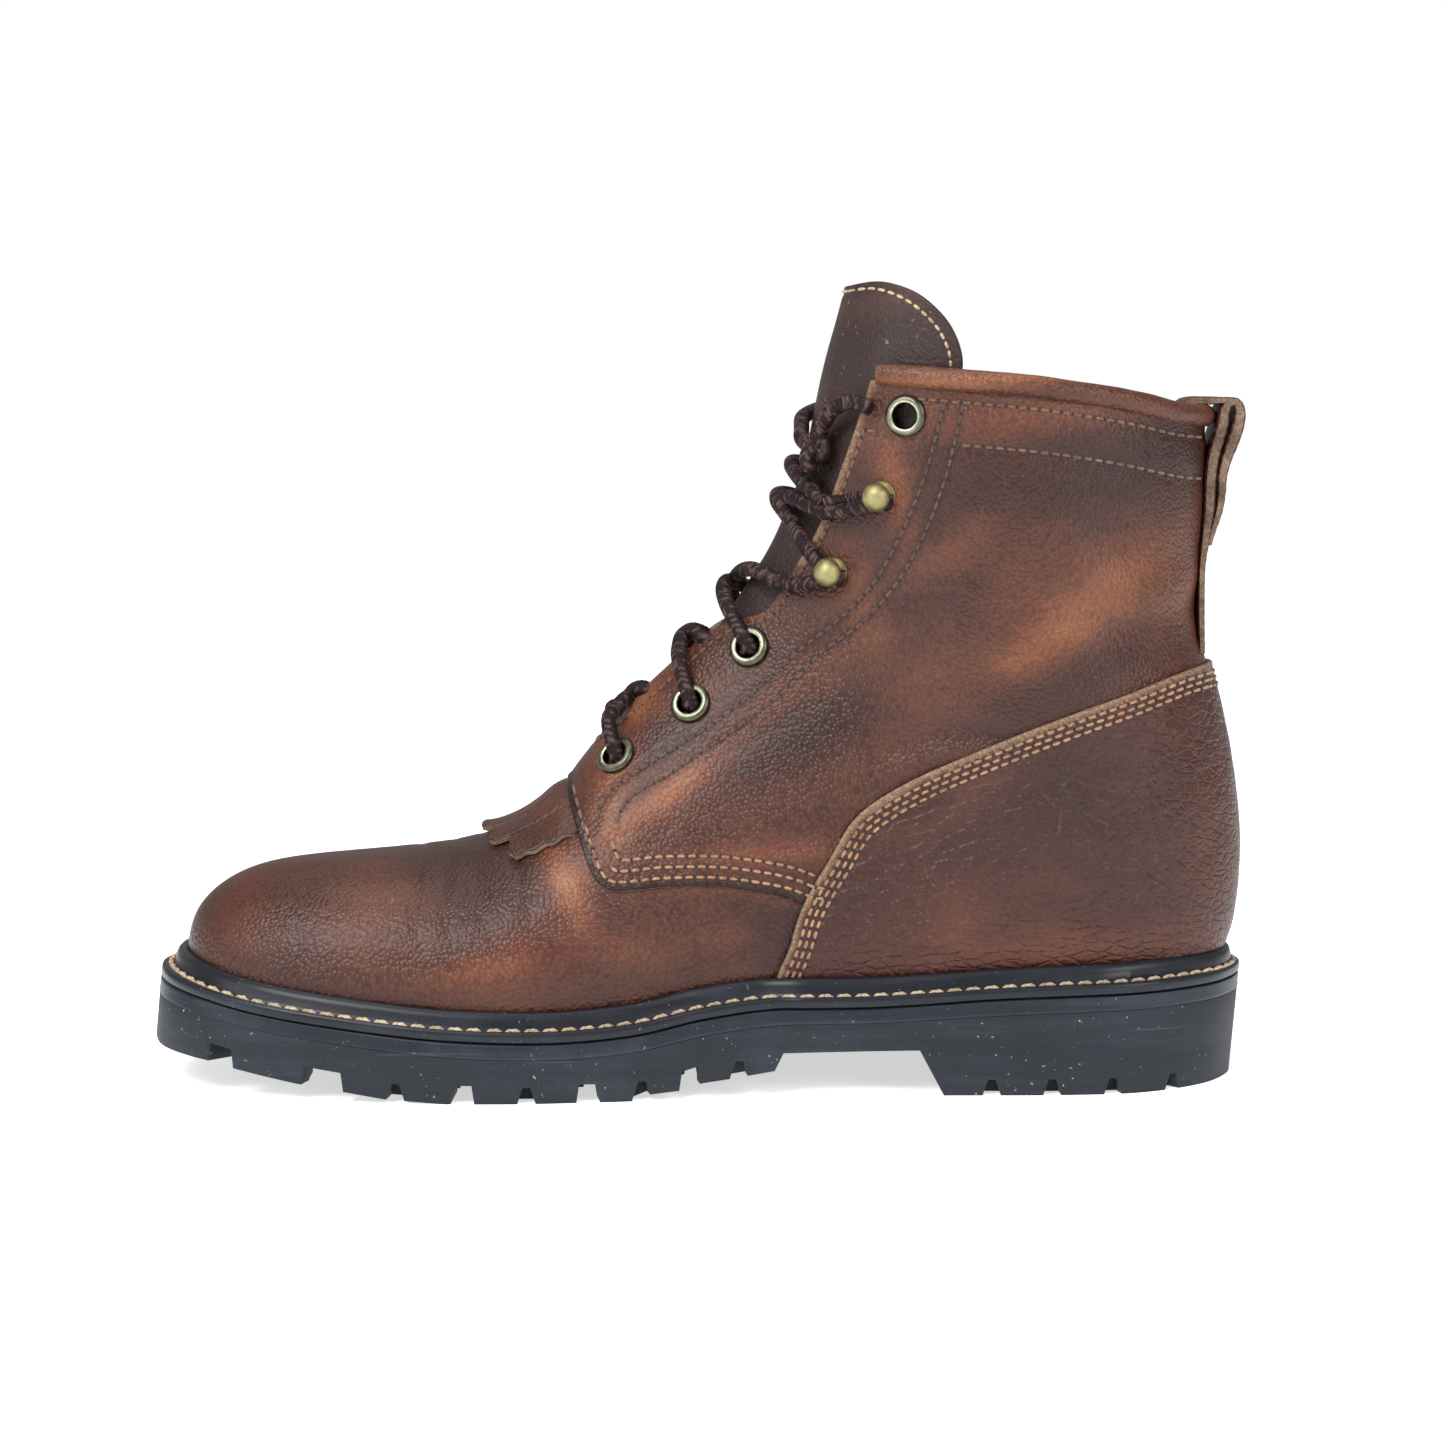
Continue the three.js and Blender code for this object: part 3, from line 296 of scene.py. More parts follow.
def lace_cord():
    """Braided round lace: the braid is in the mesh, light flecks follow the yarns, and the tone is painted
    shade, darker in the braid's valleys.
    """
    made = Nodes("lace")
    fuzz = made.noise(0.35, 2, 0.6)
    tone = made.total(0.0, (made.attribute("braid_shade"), 0.7), (fuzz, 0.3))
    base = made.ramp(tone, (0.1, 5, 3, 4), (0.5, 17, 7, 10), (0.9, 38, 17, 22))
    color = made.mix(made.attribute("fleck"), base, rgb(132, 100, 96))
    return made.finish(color, 0.7, [(fuzz, 0.4, 0.12)], Specular_IOR_Level=0.22)


def floor_material():
    made = Nodes("floor")
    color = made.ramp(made.noise(60, 2, 0.5), (0.0, 250, 250, 250), (1.0, 254, 254, 254))
    glow = {"Emission_Color": (1, 1, 1, 1), "Emission_Strength": 0.6}
    return made.finish(color, 0.9, Specular_IOR_Level=0.1, **glow)


UPPER_STOPS = (
    (0.0, 28, 14, 11), (0.3, 56, 30, 23), (0.5, 84, 47, 33),
    (0.68, 114, 68, 44), (0.85, 146, 96, 62), (1.0, 178, 130, 92),
)
COUNTER_STOPS = (
    (0.0, 28, 13, 11), (0.35, 58, 30, 24), (0.6, 86, 47, 33), (0.82, 120, 74, 48), (1.0, 156, 106, 70),
)
TONGUE_STOPS = ((0.0, 28, 19, 19), (0.4, 48, 33, 31), (0.7, 70, 47, 41), (1.0, 106, 74, 60))
RAW_STOPS = ((0.32, 46, 34, 27), (0.48, 98, 78, 62), (0.68, 148, 126, 104))
BURNISHED_STOPS = ((0.3, 26, 17, 15), (0.55, 54, 36, 29), (0.75, 104, 76, 58))
LINING_STOPS = ((0.3, 84, 58, 42), (0.5, 128, 92, 66), (0.7, 156, 118, 88))
SOLE_STOPS = ((0.3, 19, 23, 28), (0.5, 29, 34, 41), (0.7, 43, 49, 58))
WELT_STOPS = ((0.3, 16, 18, 22), (0.5, 25, 28, 34), (0.7, 40, 45, 53))
MIDSOLE_STOPS = ((0.3, 21, 25, 31), (0.5, 31, 36, 44), (0.7, 48, 55, 65))
EYELET_STOPS = ((0.2, 40, 42, 34), (0.55, 88, 88, 72), (0.85, 150, 150, 128), (1.1, 226, 226, 206))
BALL_STOPS = ((0.15, 52, 47, 30), (0.45, 112, 104, 68), (0.75, 158, 150, 106), (1.0, 196, 190, 150))
FLAT = (7, 2, 0.5)
MATERIALS = {
    "upper": leather("upper_leather", UPPER_STOPS, 1.0, 0.33),
    "counter": leather("counter_leather", COUNTER_STOPS, 0.6, 0.36, 0.5),
    "tongue": leather("tongue_leather", TONGUE_STOPS, 0.8, 0.5, 0.08, 0.5),
    "strap": leather("strap_leather", COUNTER_STOPS, 0.7, 0.4, 0.1),
    "raw": fibrous("raw_edge", (0.7, 4, 0.7), FLAT, 0.55, RAW_STOPS, 0.9, (0.8, 0.4), 0.15),
    "dark_edge": fibrous("burnished_edge", (0.9, 3, 0.6), FLAT, 1.0, BURNISHED_STOPS, 0.55, (0.4, 0.2)),
    "lining": fibrous("lining", (0.6, 4, 0.65), (14, 3, 0.5), 0.4, LINING_STOPS, 0.85, (0.3, 0.2), 0.2),
    "rubber": rubber("sole_rubber", SOLE_STOPS, 0.5, 0.75, 0.5),
    "welt": rubber("welt_rubber", WELT_STOPS, 0.27, 0.25, 0.15),
    "midsole": rubber("midsole_rubber", MIDSOLE_STOPS, 0.3, 0.35, 0.15),
    "thread": thread("thread_tan", (98, 66, 44), (176, 136, 98)),
    "thread_dark": thread("thread_brown", (36, 20, 16), (104, 66, 46)),
    "thread_mid": thread("thread_copper", (66, 39, 30), (128, 88, 64)),
    # Painted shade of the needle holes: near-black flat capsules between the stitches
    "hole": thread("needle_hole_shade", (12, 7, 6), (26, 15, 12)),
    "thread_cream": thread("thread_cream", (120, 96, 70), (206, 184, 150)),
    "brass": brass("antique_brass", EYELET_STOPS, 0.26),
    "ball": brass("mottled_brass", BALL_STOPS, 0.4),
    "lace": lace_cord(),
}

# Line and table helpers


def unit(vectors):
    return vectors / np.linalg.norm(vectors, axis=-1, keepdims=True)


def distances(points):
    """How far along a line each of its points lies."""
    return np.concatenate([[0], np.cumsum(np.linalg.norm(np.diff(points, axis=0), axis=1))])


def spline(values, clamped):
    """Natural cubic spline through values at whole numbers; flat at its start where clamped."""
    values = np.asarray(values, float)
    count = len(values)
    bend = np.zeros(count)
    work = np.zeros(count)
    if clamped:
        bend[0] = -0.5
        work[0] = 3 * (values[1] - values[0])
    for i in range(1, count - 1):
        p = 0.5 * bend[i - 1] + 2
        bend[i] = -0.5 / p
        step = values[i + 1] - 2 * values[i] + values[i - 1]
        work[i] = (3 * step - 0.5 * work[i - 1]) / p
    bend[-1] = 0
    for i in range(count - 2, -1, -1):
        bend[i] = bend[i] * bend[i + 1] + work[i]

    def at(t):
        i = np.clip(np.floor(t).astype(int), 0, count - 2)
        b = t - i
        a = 1 - b
        curve = ((a**3 - a) * bend[i] + (b**3 - b) * bend[i + 1]) / 6
        return a * values[i] + b * values[i + 1] + curve

    return at


def catmull(points, closed=False, spacing=1.0, count=None):
    """Centripetal Catmull-Rom curve through points, as evenly spaced points."""
    points = np.asarray(points, float)
    if closed:
        padded = np.vstack([points[-1], points, points[0], points[1]])
    else:
        padded = np.vstack([2 * points[0] - points[1], points, 2 * points[-1] - points[-2]])
    pieces = []
    shares = np.linspace(0, 1, 33)[:-1, None]
    for p0, p1, p2, p3 in zip(padded, padded[1:], padded[2:], padded[3:]):
        pairs = ((p0, p1), (p1, p2), (p2, p3))
        d0, d1, d2 = [max(np.sqrt(np.linalg.norm(b - a)), 1e-4) for a, b in pairs]
        t1 = ((p1 - p0) / d0 - (p2 - p0) / (d0 + d1) + (p2 - p1) / d1) * d1
        t2 = ((p2 - p1) / d1 - (p3 - p1) / (d1 + d2) + (p3 - p2) / d2) * d1
        c2 = -3 * p1 + 3 * p2 - 2 * t1 - t2
        c3 = 2 * p1 - 2 * p2 + t1 + t2
        pieces.append(p1 + t1 * shares + c2 * shares**2 + c3 * shares**3)
    dense = np.vstack(pieces + [points[:1] if closed else points[-1:]])
    along = distances(dense)
    if count is None:
        count = max(2, int(round(along[-1] / spacing)) + 1)
    stops = np.linspace(0, along[-1], count + 1 if closed else count)
    even = np.stack([np.interp(stops, along, values) for values in dense.T], axis=1)
    return even[:-1] if closed else even


def smooth_height(table, unit):
    """The same as a smooth curve."""
    line = catmull(np.array(sorted(table)) * (LENGTH, unit), spacing=1.0)

    def at(x):
        return np.interp(x, line[:, 0], line[:, 1])

    return at


def line_distance(x, z, line):
    """Distance from side-view places to an open line of points."""
    best = np.full(np.shape(x), 1e9)
    for (ax, az), (bx, bz) in zip(line[:-1], line[1:]):
        dx, dz = bx - ax, bz - az
        size = dx * dx + dz * dz
        if size == 0:
            continue
        t = np.clip(((x - ax) * dx + (z - az) * dz) / size, 0, 1)
        best = np.minimum(best, (x - ax - t * dx) ** 2 + (z - az - t * dz) ** 2)
    return np.sqrt(best)


def inside(x, z, outline):
    """True where side-view places lie in a closed outline."""
    found = np.zeros(np.shape(x), bool)
    for (ax, az), (bx, bz) in zip(outline, np.roll(outline, -1, axis=0)):
        if az == bz:
            continue
        crosses = (az > z) != (bz > z)
        found ^= crosses & (x < (bx - ax) * (z - az) / (bz - az) + ax)
    return found


def zone_field(line, corners):
    """Signed distance to a zone's drawn line: positive inside. The corners close the zone far away."""
    outline = np.vstack([line, corners])

    def at(x, z):
        distance = line_distance(x, z, line)
        return np.where(inside(x, z, outline), distance, -distance)

    return at


# The last: its sections, as in the part's source
COLUMNS = ("tx", "tz", "bx", "bz", "med", "lat", "low", "top", "bot")
LAST = [
    (0.4733, 0.17, 0.4733, 0.17, 0, 0, 0.45, 2, 2.2),
    (0.4697, 0.212, 0.4697, 0.128, 0.11, 0.105, 0.45, 2, 2.2),
    (0.458, 0.242, 0.458, 0.093, 0.205, 0.195, 0.42, 2.1, 2.3),
    (0.4383, 0.2665, 0.4383, 0.073, 0.285, 0.275, 0.4, 2.2, 2.5),
    (0.41, 0.286, 0.41, 0.058, 0.35, 0.345, 0.38, 2.3, 2.6),
    (0.3733, 0.2975, 0.3733, 0.048, 0.396, 0.405, 0.37, 2.3, 2.6),
    (0.3267, 0.305, 0.3267, 0.039, 0.43, 0.45, 0.37, 2.25, 2.6),
    (0.2733, 0.312, 0.2733, 0.032, 0.45, 0.484, 0.38, 2.15, 2.6),
    (0.2167, 0.324, 0.2167, 0.027, 0.46, 0.506, 0.38, 2.05, 2.6),
    (0.1633, 0.3525, 0.1567, 0.025, 0.455, 0.518, 0.38, 1.95, 2.6),
    (0.1233, 0.4, 0.0933, 0.025, 0.435, 0.51, 0.36, 1.85, 2.6),
    (0.0867, 0.4675, 0.02, 0.0375, 0.4, 0.49, 0.33, 1.8, 2.6),
    (0.0483, 0.53, -0.0667, 0.055, 0.365, 0.46, 0.31, 1.8, 2.6),
    (0.01, 0.59, -0.1667, 0.065, 0.345, 0.42, 0.3, 1.8, 2.6),
    (-0.02, 0.6425, -0.28, 0.07, 0.335, 0.38, 0.3, 1.85, 2.6),
    (-0.0433, 0.695, -0.3867, 0.08, 0.335, 0.355, 0.33, 1.9, 2.5),
    (-0.0617, 0.7425, -0.4633, 0.11, 0.34, 0.35, 0.38, 2, 2.3),
    (-0.075, 0.785, -0.495, 0.24, 0.345, 0.35, 0.45, 2, 2.2),
    (-0.086, 0.825, -0.495, 0.38, 0.35, 0.35, 0.48, 2.05, 2.1),
    (-0.0933, 0.8675, -0.4783, 0.52, 0.35, 0.35, 0.5, 2.1, 2),
    (-0.0993, 0.91, -0.461, 0.655, 0.355, 0.355, 0.5, 2.1, 2),
    (-0.1053, 0.955, -0.466, 0.78, 0.36, 0.36, 0.5, 2.1, 2),
    (-0.1133, 1.005, -0.4667, 0.89, 0.365, 0.365, 0.5, 2.1, 2),
    (-0.125, 1.06, -0.4693, 0.985, 0.37, 0.37, 0.5, 2.1, 2),
    (-0.14, 1.13, -0.47, 1.08, 0.375, 0.375, 0.5, 2.1, 2),
]
TRACK = {
    name: spline([row[k] for row in LAST], name in ("tx", "bx")) for k, name in enumerate(COLUMNS)
}
LAST_END = len(LAST) - 1


def last_point(u, v):
    """A point of the last: u runs along the sections, v once around from the top, inner side first."""
    u = np.asarray(u, float)
    top_x, top_z = TRACK["tx"](u) * LENGTH, TRACK["tz"](u) * HEIGHT
    bottom_x, bottom_z = TRACK["bx"](u) * LENGTH, TRACK["bz"](u) * HEIGHT
    side = np.sin(2 * np.pi * v)
    along = np.cos(2 * np.pi * v)
    low = TRACK["low"](u)
    power = 2 / np.where(along > 0, TRACK["top"](u), TRACK["bot"](u))
    width = np.where(side > 0, TRACK["med"](u), TRACK["lat"](u)) * BALL_WIDTH
    reach = np.abs(along) ** power
    share = np.where(along > 0, (1 - low) * (1 - reach), 1 - low + low * reach)
    x, z = top_x + (bottom_x - top_x) * share, top_z + (bottom_z - top_z) * share
    return np.stack([x, np.sign(side) * width * np.abs(side) ** power, z], axis=-1)


def form_normal(u, v):
    step = 0.02
    at = np.clip(u, 0.06, LAST_END - step)
    along = last_point(at + step, v) - last_point(at - step, v)
    around = last_point(at, v + step / 4) - last_point(at, v - step / 4)
    normal = np.cross(around, along)
    return normal / np.maximum(np.linalg.norm(normal, axis=-1, keepdims=True), 1e-9)


def form_point(u, v, offset):
    """A point of the last moved out along its normal."""
    u, v = np.broadcast_arrays(np.asarray(u, float), np.asarray(v, float))
    offset = np.asarray(offset, float)
    return last_point(u, v) + form_normal(u, v) * offset[..., None]


def find_on_side(x, z, side):
    """Where the last's surface passes a side-view place, on the inner (+1) or outer (-1) side."""
    u_low, u_high, v_low, v_high = 1.0, float(LAST_END), 0.0, 0.5
    for _ in range(5):
        tried_u, tried_v = np.linspace(u_low, u_high, 61), np.linspace(v_low, v_high, 61)
        us, vs = np.meshgrid(tried_u, tried_v, indexing="ij")
        p = last_point(us, side * vs)
        k = np.argmin(np.hypot(p[..., 0] - x, p[..., 2] - z))
        u, v = us.flat[k], vs.flat[k]
        du, dv = (u_high - u_low) / 20, (v_high - v_low) / 20
        u_low, u_high = max(u - du, 0.5), min(u + du, LAST_END)
        v_low, v_high = max(v - dv, 0.0), min(v + dv, 0.5)
    return u, side * v


# Side-view lines of the panels, in shares of LENGTH and HEIGHT, as in the part's source
RIM = [
    (0.51, 1.04), (0.4, 0.852), (0.335, 0.765), (0.237, 0.658), (0.174, 0.626), (0.11, 0.626),
    (0.048, 0.68), (-0.005, 0.79), (-0.068, 0.87), (-0.166, 0.885), (-0.29, 0.955), (-0.42, 0.995),
    (-0.515, 1.01),
]
FACING = [
    (0.117, 0.404), (0.119, 0.43), (0.088, 0.481), (0.072, 0.5), (0.025, 0.562), (-0.024, 0.625),
    (-0.066, 0.65), (-0.084, 0.69), (-0.112, 0.76), (-0.139, 0.867), (-0.165, 0.991),
]
QUARTER_EDGE = [
    (-0.13, 0.25), (-0.0987, 0.2575), (-0.084, 0.2665), (-0.0597, 0.274), (-0.0237, 0.281),
    (0.0243, 0.2815), (0.079, 0.278), (0.0893, 0.29), (0.1017, 0.3305), (0.11, 0.369),
]
COUNTER_EDGE = [
    (-0.066, 0.05), (-0.0743, 0.1615), (-0.0843, 0.196), (-0.0963, 0.252), (-0.123, 0.321),
    (-0.1447, 0.372), (-0.1853, 0.4155), (-0.2757, 0.479), (-0.331, 0.512), (-0.388, 0.541),
    (-0.449, 0.5695), (-0.51, 0.578),
]
COLLAR_LINE = [
    (-0.12, 0.993), (-0.165, 0.987), (-0.252, 0.977), (-0.32, 0.967), (-0.39, 0.95), (-0.44, 0.934),
    (-0.5, 0.926),
]
TONGUE_BACK = [
    (0.13, 0.33), (0.05, 0.4), (-0.05, 0.5), (-0.12, 0.62), (-0.185, 0.8), (-0.225, 0.93),
    (-0.237, 0.985), (-0.227, 1.033), (-0.205, 1.07), (-0.184, 1.09), (-0.16, 1.1), (-0.13, 1.095),
]
EYELETS = [(0.07, 0.4465), (0.0027, 0.5195), (-0.051, 0.598), (-0.1903, 0.9165)]
HOOKS = [(-0.1233, 0.7035), (-0.165, 0.809)]

rim_at = smooth_height(RIM, RIM_HEIGHT)
collar_at = smooth_height(COLLAR_LINE, HEIGHT)


def side_line(table, spacing=1.5):
    return catmull(np.array(table) * (LENGTH, HEIGHT), spacing=spacing)


FRONT_LINE = side_line(QUARTER_EDGE + FACING[1:])
FACING_LINE = side_line(FACING)
COUNTER_LINE = side_line(COUNTER_EDGE)
TONGUE_LINE = side_line([(0.16, 0.3)] + TONGUE_BACK)
quarter_field = zone_field(FRONT_LINE, [(-55, 300), (-200, 300), (-200, -30), (-39, -30)])
throat_field = zone_field(FACING_LINE, [(-50, 320), (120, 320), (120, 80.8)])
counter_field = zone_field(COUNTER_LINE, [(-200, 115.6), (-200, -30), (-20, -30)])
tongue_field = zone_field(TONGUE_LINE, [(20, 260), (160, 120)])
RISE = 2 * ROLL_RADIUS + GAP


def seat_field(x, z):
    return z - (rim_at(x) - WELT)


def collar_field(x, z):
    # The leather runs up into the roll, and ends inside it
    return collar_at(x) - RISE + 1.6 - z


# Meshes


def mesh_points(mesh):
    points = np.empty(len(mesh.vertices) * 3)
    mesh.vertices.foreach_get("co", points)
    return points.reshape(-1, 3)


def own_points(obj):
    """An object's points in the part's own millimetres."""
    return (mesh_points(obj.data) - SHIFT) * 1000


def new_object(name, points, faces, materials, slots=None, sharp=38):
    """An object from points in the part's own millimetres; faces are lists of point numbers."""
    mesh = bpy.data.meshes.new(name)
    mesh.from_pydata(to_metres(points).tolist(), [], faces)
    for material in materials:
        mesh.materials.append(MATERIALS[material])
    if slots is not None:
        mesh.polygons.foreach_set("material_index", np.asarray(slots, dtype=np.int32))
    mesh.polygons.foreach_set("use_smooth", np.ones(len(mesh.polygons), dtype=bool))
    mesh.set_sharp_from_angle(angle=math.radians(sharp))
    mesh.update()
    obj = bpy.data.objects.new(name, mesh)
    bpy.context.scene.collection.objects.link(obj)
    return obj


def hand_in(obj, slot, *nodes):
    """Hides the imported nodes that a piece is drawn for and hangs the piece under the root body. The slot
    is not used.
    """
    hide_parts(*nodes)
    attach(obj, "root")
    return obj


def set_attribute(obj, name, values):
    layer = obj.data.attributes.new(name, "FLOAT", "POINT")
    layer.data.foreach_set("value", np.asarray(values, dtype=np.float32))


def ring_faces(rings, around, closed=False, first=0):
    """Faces over rings of points, each joined to the next; an open row has a cap at both ends."""
    faces = []
    for i in range(rings if closed else rings - 1):
        here, there = first + i * around, first + (i + 1) % rings * around
        for k in range(around):
            m = (k + 1) % around
            faces.append([here + k, here + m, there + m, there + k])
    if not closed:
        faces.append([first + k for k in reversed(range(around))])
        faces.append([first + (rings - 1) * around + k for k in range(around)])
    return faces


def weld(points, faces):
    """Joins points that coincide and drops faces that collapse."""
    _, first, back = np.unique(np.round(points, 3), axis=0, return_index=True, return_inverse=True)
    back = back.reshape(-1)
    kept = []
    for face in faces:
        ring = []
        for k in back[face]:
            if not ring or k != ring[-1]:
                ring.append(int(k))
        if len(ring) > 1 and ring[0] == ring[-1]:
            ring.pop()
        if len(ring) > 2 and len(set(ring)) == len(ring):
            kept.append(ring)
    return first, kept


def cut_grid(us, vs, fields, levels):
    """A (u, v) grid cut along each field's zero line, with extra lines at the levels inside."""
    grid_u, grid_v = np.meshgrid(us, vs, indexing="ij")
    index = np.arange(grid_u.size).reshape(grid_u.shape)
    corners = [index[:-1, :-1], index[:-1, 1:], index[1:, 1:], index[1:, :-1]]
    quads = np.stack(corners, axis=-1).reshape(-1, 4)
    points = np.stack([grid_u.ravel(), grid_v.ravel(), np.zeros(grid_u.size)], axis=1)
    mesh = bpy.data.meshes.new("grid")
    mesh.from_pydata(points.tolist(), [], quads.tolist())
    for field in fields:
        points = mesh_points(mesh)
        points[:, 2] = field(last_point(points[:, 0], points[:, 1]))
        mesh.vertices.foreach_set("co", points.ravel())
        work = bmesh.new()
        work.from_mesh(mesh)
        for level in (0.0, *levels):
            bmesh.ops.bisect_plane(
                work, geom=work.verts[:] + work.edges[:] + work.faces[:], dist=1e-5,
                plane_co=(0, 0, level), plane_no=(0, 0, 1), clear_inner=level == 0,
            )
        work.to_mesh(mesh)
        work.free()
    points = mesh_points(mesh)
    faces = [list(face.vertices) for face in mesh.polygons]
    bpy.data.meshes.remove(mesh)
    return points[:, 0], points[:, 1], faces


SPACING = 1.35  # between the lines of a leather panel's grid


def even_stations(start, end, spacing=SPACING):
    """Values of u that lie evenly along the last, from lines on its top, sides and bottom."""
    us = np.linspace(start, end, 600)
    lines = [last_point(us, np.full_like(us, v)) for v in (0.0, 0.12, 0.25, -0.25, 0.4)]
    steps = [np.linalg.norm(np.diff(line, axis=0), axis=1) for line in lines]
    along = np.concatenate([[0], np.cumsum(np.mean(steps, axis=0))])
    count = int(along[-1] / spacing) + 1
    return np.interp(np.linspace(0, along[-1], count), along, us)


ALL_ROUND = np.linspace(-0.5, 0.5, 231)
ROUND = 0.55  # how far in from a cut edge its rounding reaches
ROUND_MIDDLE = 0.18


def panel(name, us, vs, fields, outer, inner, relief, materials, space_fields=(), lift=None):
    """A leather piece of the last's own form: outer and inner skins at their offsets, rounded cut
    edges between them. Fields read side-view places, space fields whole points. Materials: outer
    skin, inner skin, edge."""
    fields = [lambda p, field=field: field(p[:, 0], p[:, 2]) for field in fields]
    fields += space_fields
    u, v, faces = cut_grid(us, vs, fields, (ROUND_MIDDLE, ROUND))
    base = last_point(u, v)
    depth = np.full(len(u), 9.0)
    for field in fields:
        depth = np.minimum(depth, np.maximum(field(base), 0))
    share = np.clip(1 - depth / ROUND, 0, 1)
    rounding = ROUND * (1 - np.sqrt(np.maximum(1 - share**2, 0)))
    top = form_point(u, v, outer - rounding + relief(base, depth))
    bottom = form_point(u, v, np.full(len(u), float(inner)))
    if lift is not None:
        raised = form_normal(u, v) * lift(base)[:, None]
        top += raised
        bottom += raised
    first, faces = weld(top, faces)
    size = len(first)
    edges = {(a, b): True for face in faces for a, b in zip(face, face[1:] + face[:1])}
    under = [[k + size for k in reversed(face)] for face in faces]
    sides = [[b, a, a + size, b + size] for a, b in edges if (b, a) not in edges]
    slots = [0] * len(faces) + [1] * len(under) + [2] * len(sides)
    points = np.vstack([top[first], bottom[first]])
    return new_object(name, points, faces + under + sides, materials, slots)


# What the photograph shows on the leather: tones, creases and seams, placed in side view

# Light and dark places: x, z, half length, half height, turn in degrees, strength. Most are the leather's
# own tone; the places marked below as painted are painted highlights or painted shade.
SHAFT_TONES = [
    # Painted highlights of the sheen on the facing by the first eyelet: this place and the next
    (24, 84, 7, 14, 6, 0.26),
    (4, 84, 15, 5, -38, 0.24),
    (-20, 104, 14, 4, -42, 0.16),
    (-98, 184, 46, 5, -5, 0.16),
    (-112, 138, 30, 9, -32, 0.25),
    (-134, 134, 14, 8, -30, 0.16),
    (-54, 163, 5, 15, -10, 0.32),
    (-72, 150, 15, 5, -34, 0.18),
    (-44, 136, 6, 12, -20, 0.16),
    (-20, 65, 26, 3, -1, 0.22),
    (22, 70, 6, 9, 0, 0.18),
    # Painted highlight of the sheen on the facing below the first eyelet
    (6, 82, 18, 4, -36, 0.12),
    (16, 103, 8, 4, -42, 0.28),
    (2, 106, 10, 5, -42, 0.14),
    (-40, 116, 20, 7, -40, 0.1),
    (-86, 186, 40, 5, -4, 0.1),
    (-92, 120, 26, 6, -28, 0.14),
    (-60, 112, 14, 6, -20, 0.08),
    (-96, 164, 34, 11, -14, -0.16),
    (-124, 172, 18, 9, -10, -0.12),
    (-64, 132, 12, 9, -30, -0.12),
    (-30, 98, 26, 8, -26, -0.22),
    (-4, 72, 12, 5, -30, -0.06),
    (-110, 116, 22, 6, -26, -0.1),
    (6, 98, 9, 4, -40, -0.12),
]
COUNTER_TONES = [
    (-112, 108, 30, 5, -16, 0.16),
    (-78, 84, 16, 5, -40, 0.14),
    (-104, 78, 34, 18, 0, -0.12),
    # Painted highlight on the side of the counter
    (-70, 48, 10, 14, 10, 0.16),
    (-110, 40, 40, 6, 0, 0.2),
    (-140, 62, 8, 26, 0, 0.12),
    (-96, 62, 16, 8, -30, 0.06),
]
VAMP_TONES = [
    (110, 64, 26, 6, -14, -0.12),
    (136, 48, 8, 12, -30, -0.12),
    (124, 44, 12, 7, -10, 0.14),
    (88, 50, 16, 9, -10, 0.2),
    (66, 62, 16, 8, 0, -0.12),
    (35, 58, 6, 14, -22, 0.42),
    (48, 40, 12, 8, -30, 0.16),
    (18, 40, 14, 6, 0, 0.14),
    (-6, 44, 14, 7, 10, 0.08),
    # Painted shade where the upper turns under towards the arch
    (-26, 42, 10, 9, 20, -0.16),
    (80, 38, 30, 5, -8, 0.06),
    (60, 34, 18, 4, -10, 0.12),
]
TONGUE_TONES = [(-50, 214, 20, 4, -10, 0.2), (-30, 190, 14, 10, 20, 0.12), (-50, 175, 12, 14, 0, -0.15)]
VAMP_REDS = [
    (108, 66, 26, 6, -14, 0.8), (128, 54, 10, 8, -20, 0.3), (40, 40, 14, 7, 0, 0.3),
    (-20, 66, 24, 5, 0, 0.2),
]

# Soft troughs (positive depth) and ridges: depth, half width, side-view points
SHAFT_CREASES = [
    (0.9, 3.2, [(-52, 92), (-66, 98), (-84, 97)]),
    (0.7, 2.6, [(-58, 84), (-76, 88), (-96, 84)]),
    (-0.5, 3.0, [(-54, 88), (-74, 93), (-92, 91)]),
    (0.6, 4.0, [(-100, 132), (-122, 126), (-140, 132)]),
    (0.8, 5.0, [(-120, 118), (-136, 122), (-146, 128)]),
    (-0.5, 5.0, [(-104, 144), (-122, 136), (-142, 142)]),
    (0.4, 3.0, [(-30, 116), (-44, 128), (-50, 144)]),
    (0.35, 3.5, [(-8, 92), (-24, 100), (-38, 112)]),
    (0.45, 2.5, [(-20, 66), (-40, 72), (-58, 80)]),
    (0.5, 1.1, [(24, 67), (16, 70), (7, 71.6)]),
    (0.4, 1.0, [(21, 64.8), (14, 67.4), (8, 68.4)]),
]
COUNTER_CREASES = [
    (0.3, 1.6, [(-84, 64), (-98, 74), (-112, 76)]),
    (0.3, 1.4, [(-90, 54), (-106, 62), (-124, 62)]),
    (0.28, 1.3, [(-96, 84), (-110, 88), (-122, 94)]),
    (0.25, 1.2, [(-118, 78), (-130, 84), (-140, 86)]),
    (0.25, 1.2, [(-78, 44), (-92, 46), (-108, 44)]),
    (0.3, 1.6, [(-126, 50), (-136, 60), (-142, 72)]),
]
VAMP_CREASES = [
    (0.35, 1.6, [(52, 88), (50, 66), (44, 50)]),
    (0.3, 1.5, [(58, 88), (60, 62), (56, 46), (50, 38)]),
    (0.28, 1.4, [(66, 88), (68, 58), (66, 44)]),
    (0.25, 1.5, [(76, 88), (77, 54), (73, 40)]),
    (0.3, 2.0, [(22, 52), (12, 42), (4, 36)]),
    (0.35, 2.4, [(-4, 52), (-10, 42), (-20, 36)]),
]


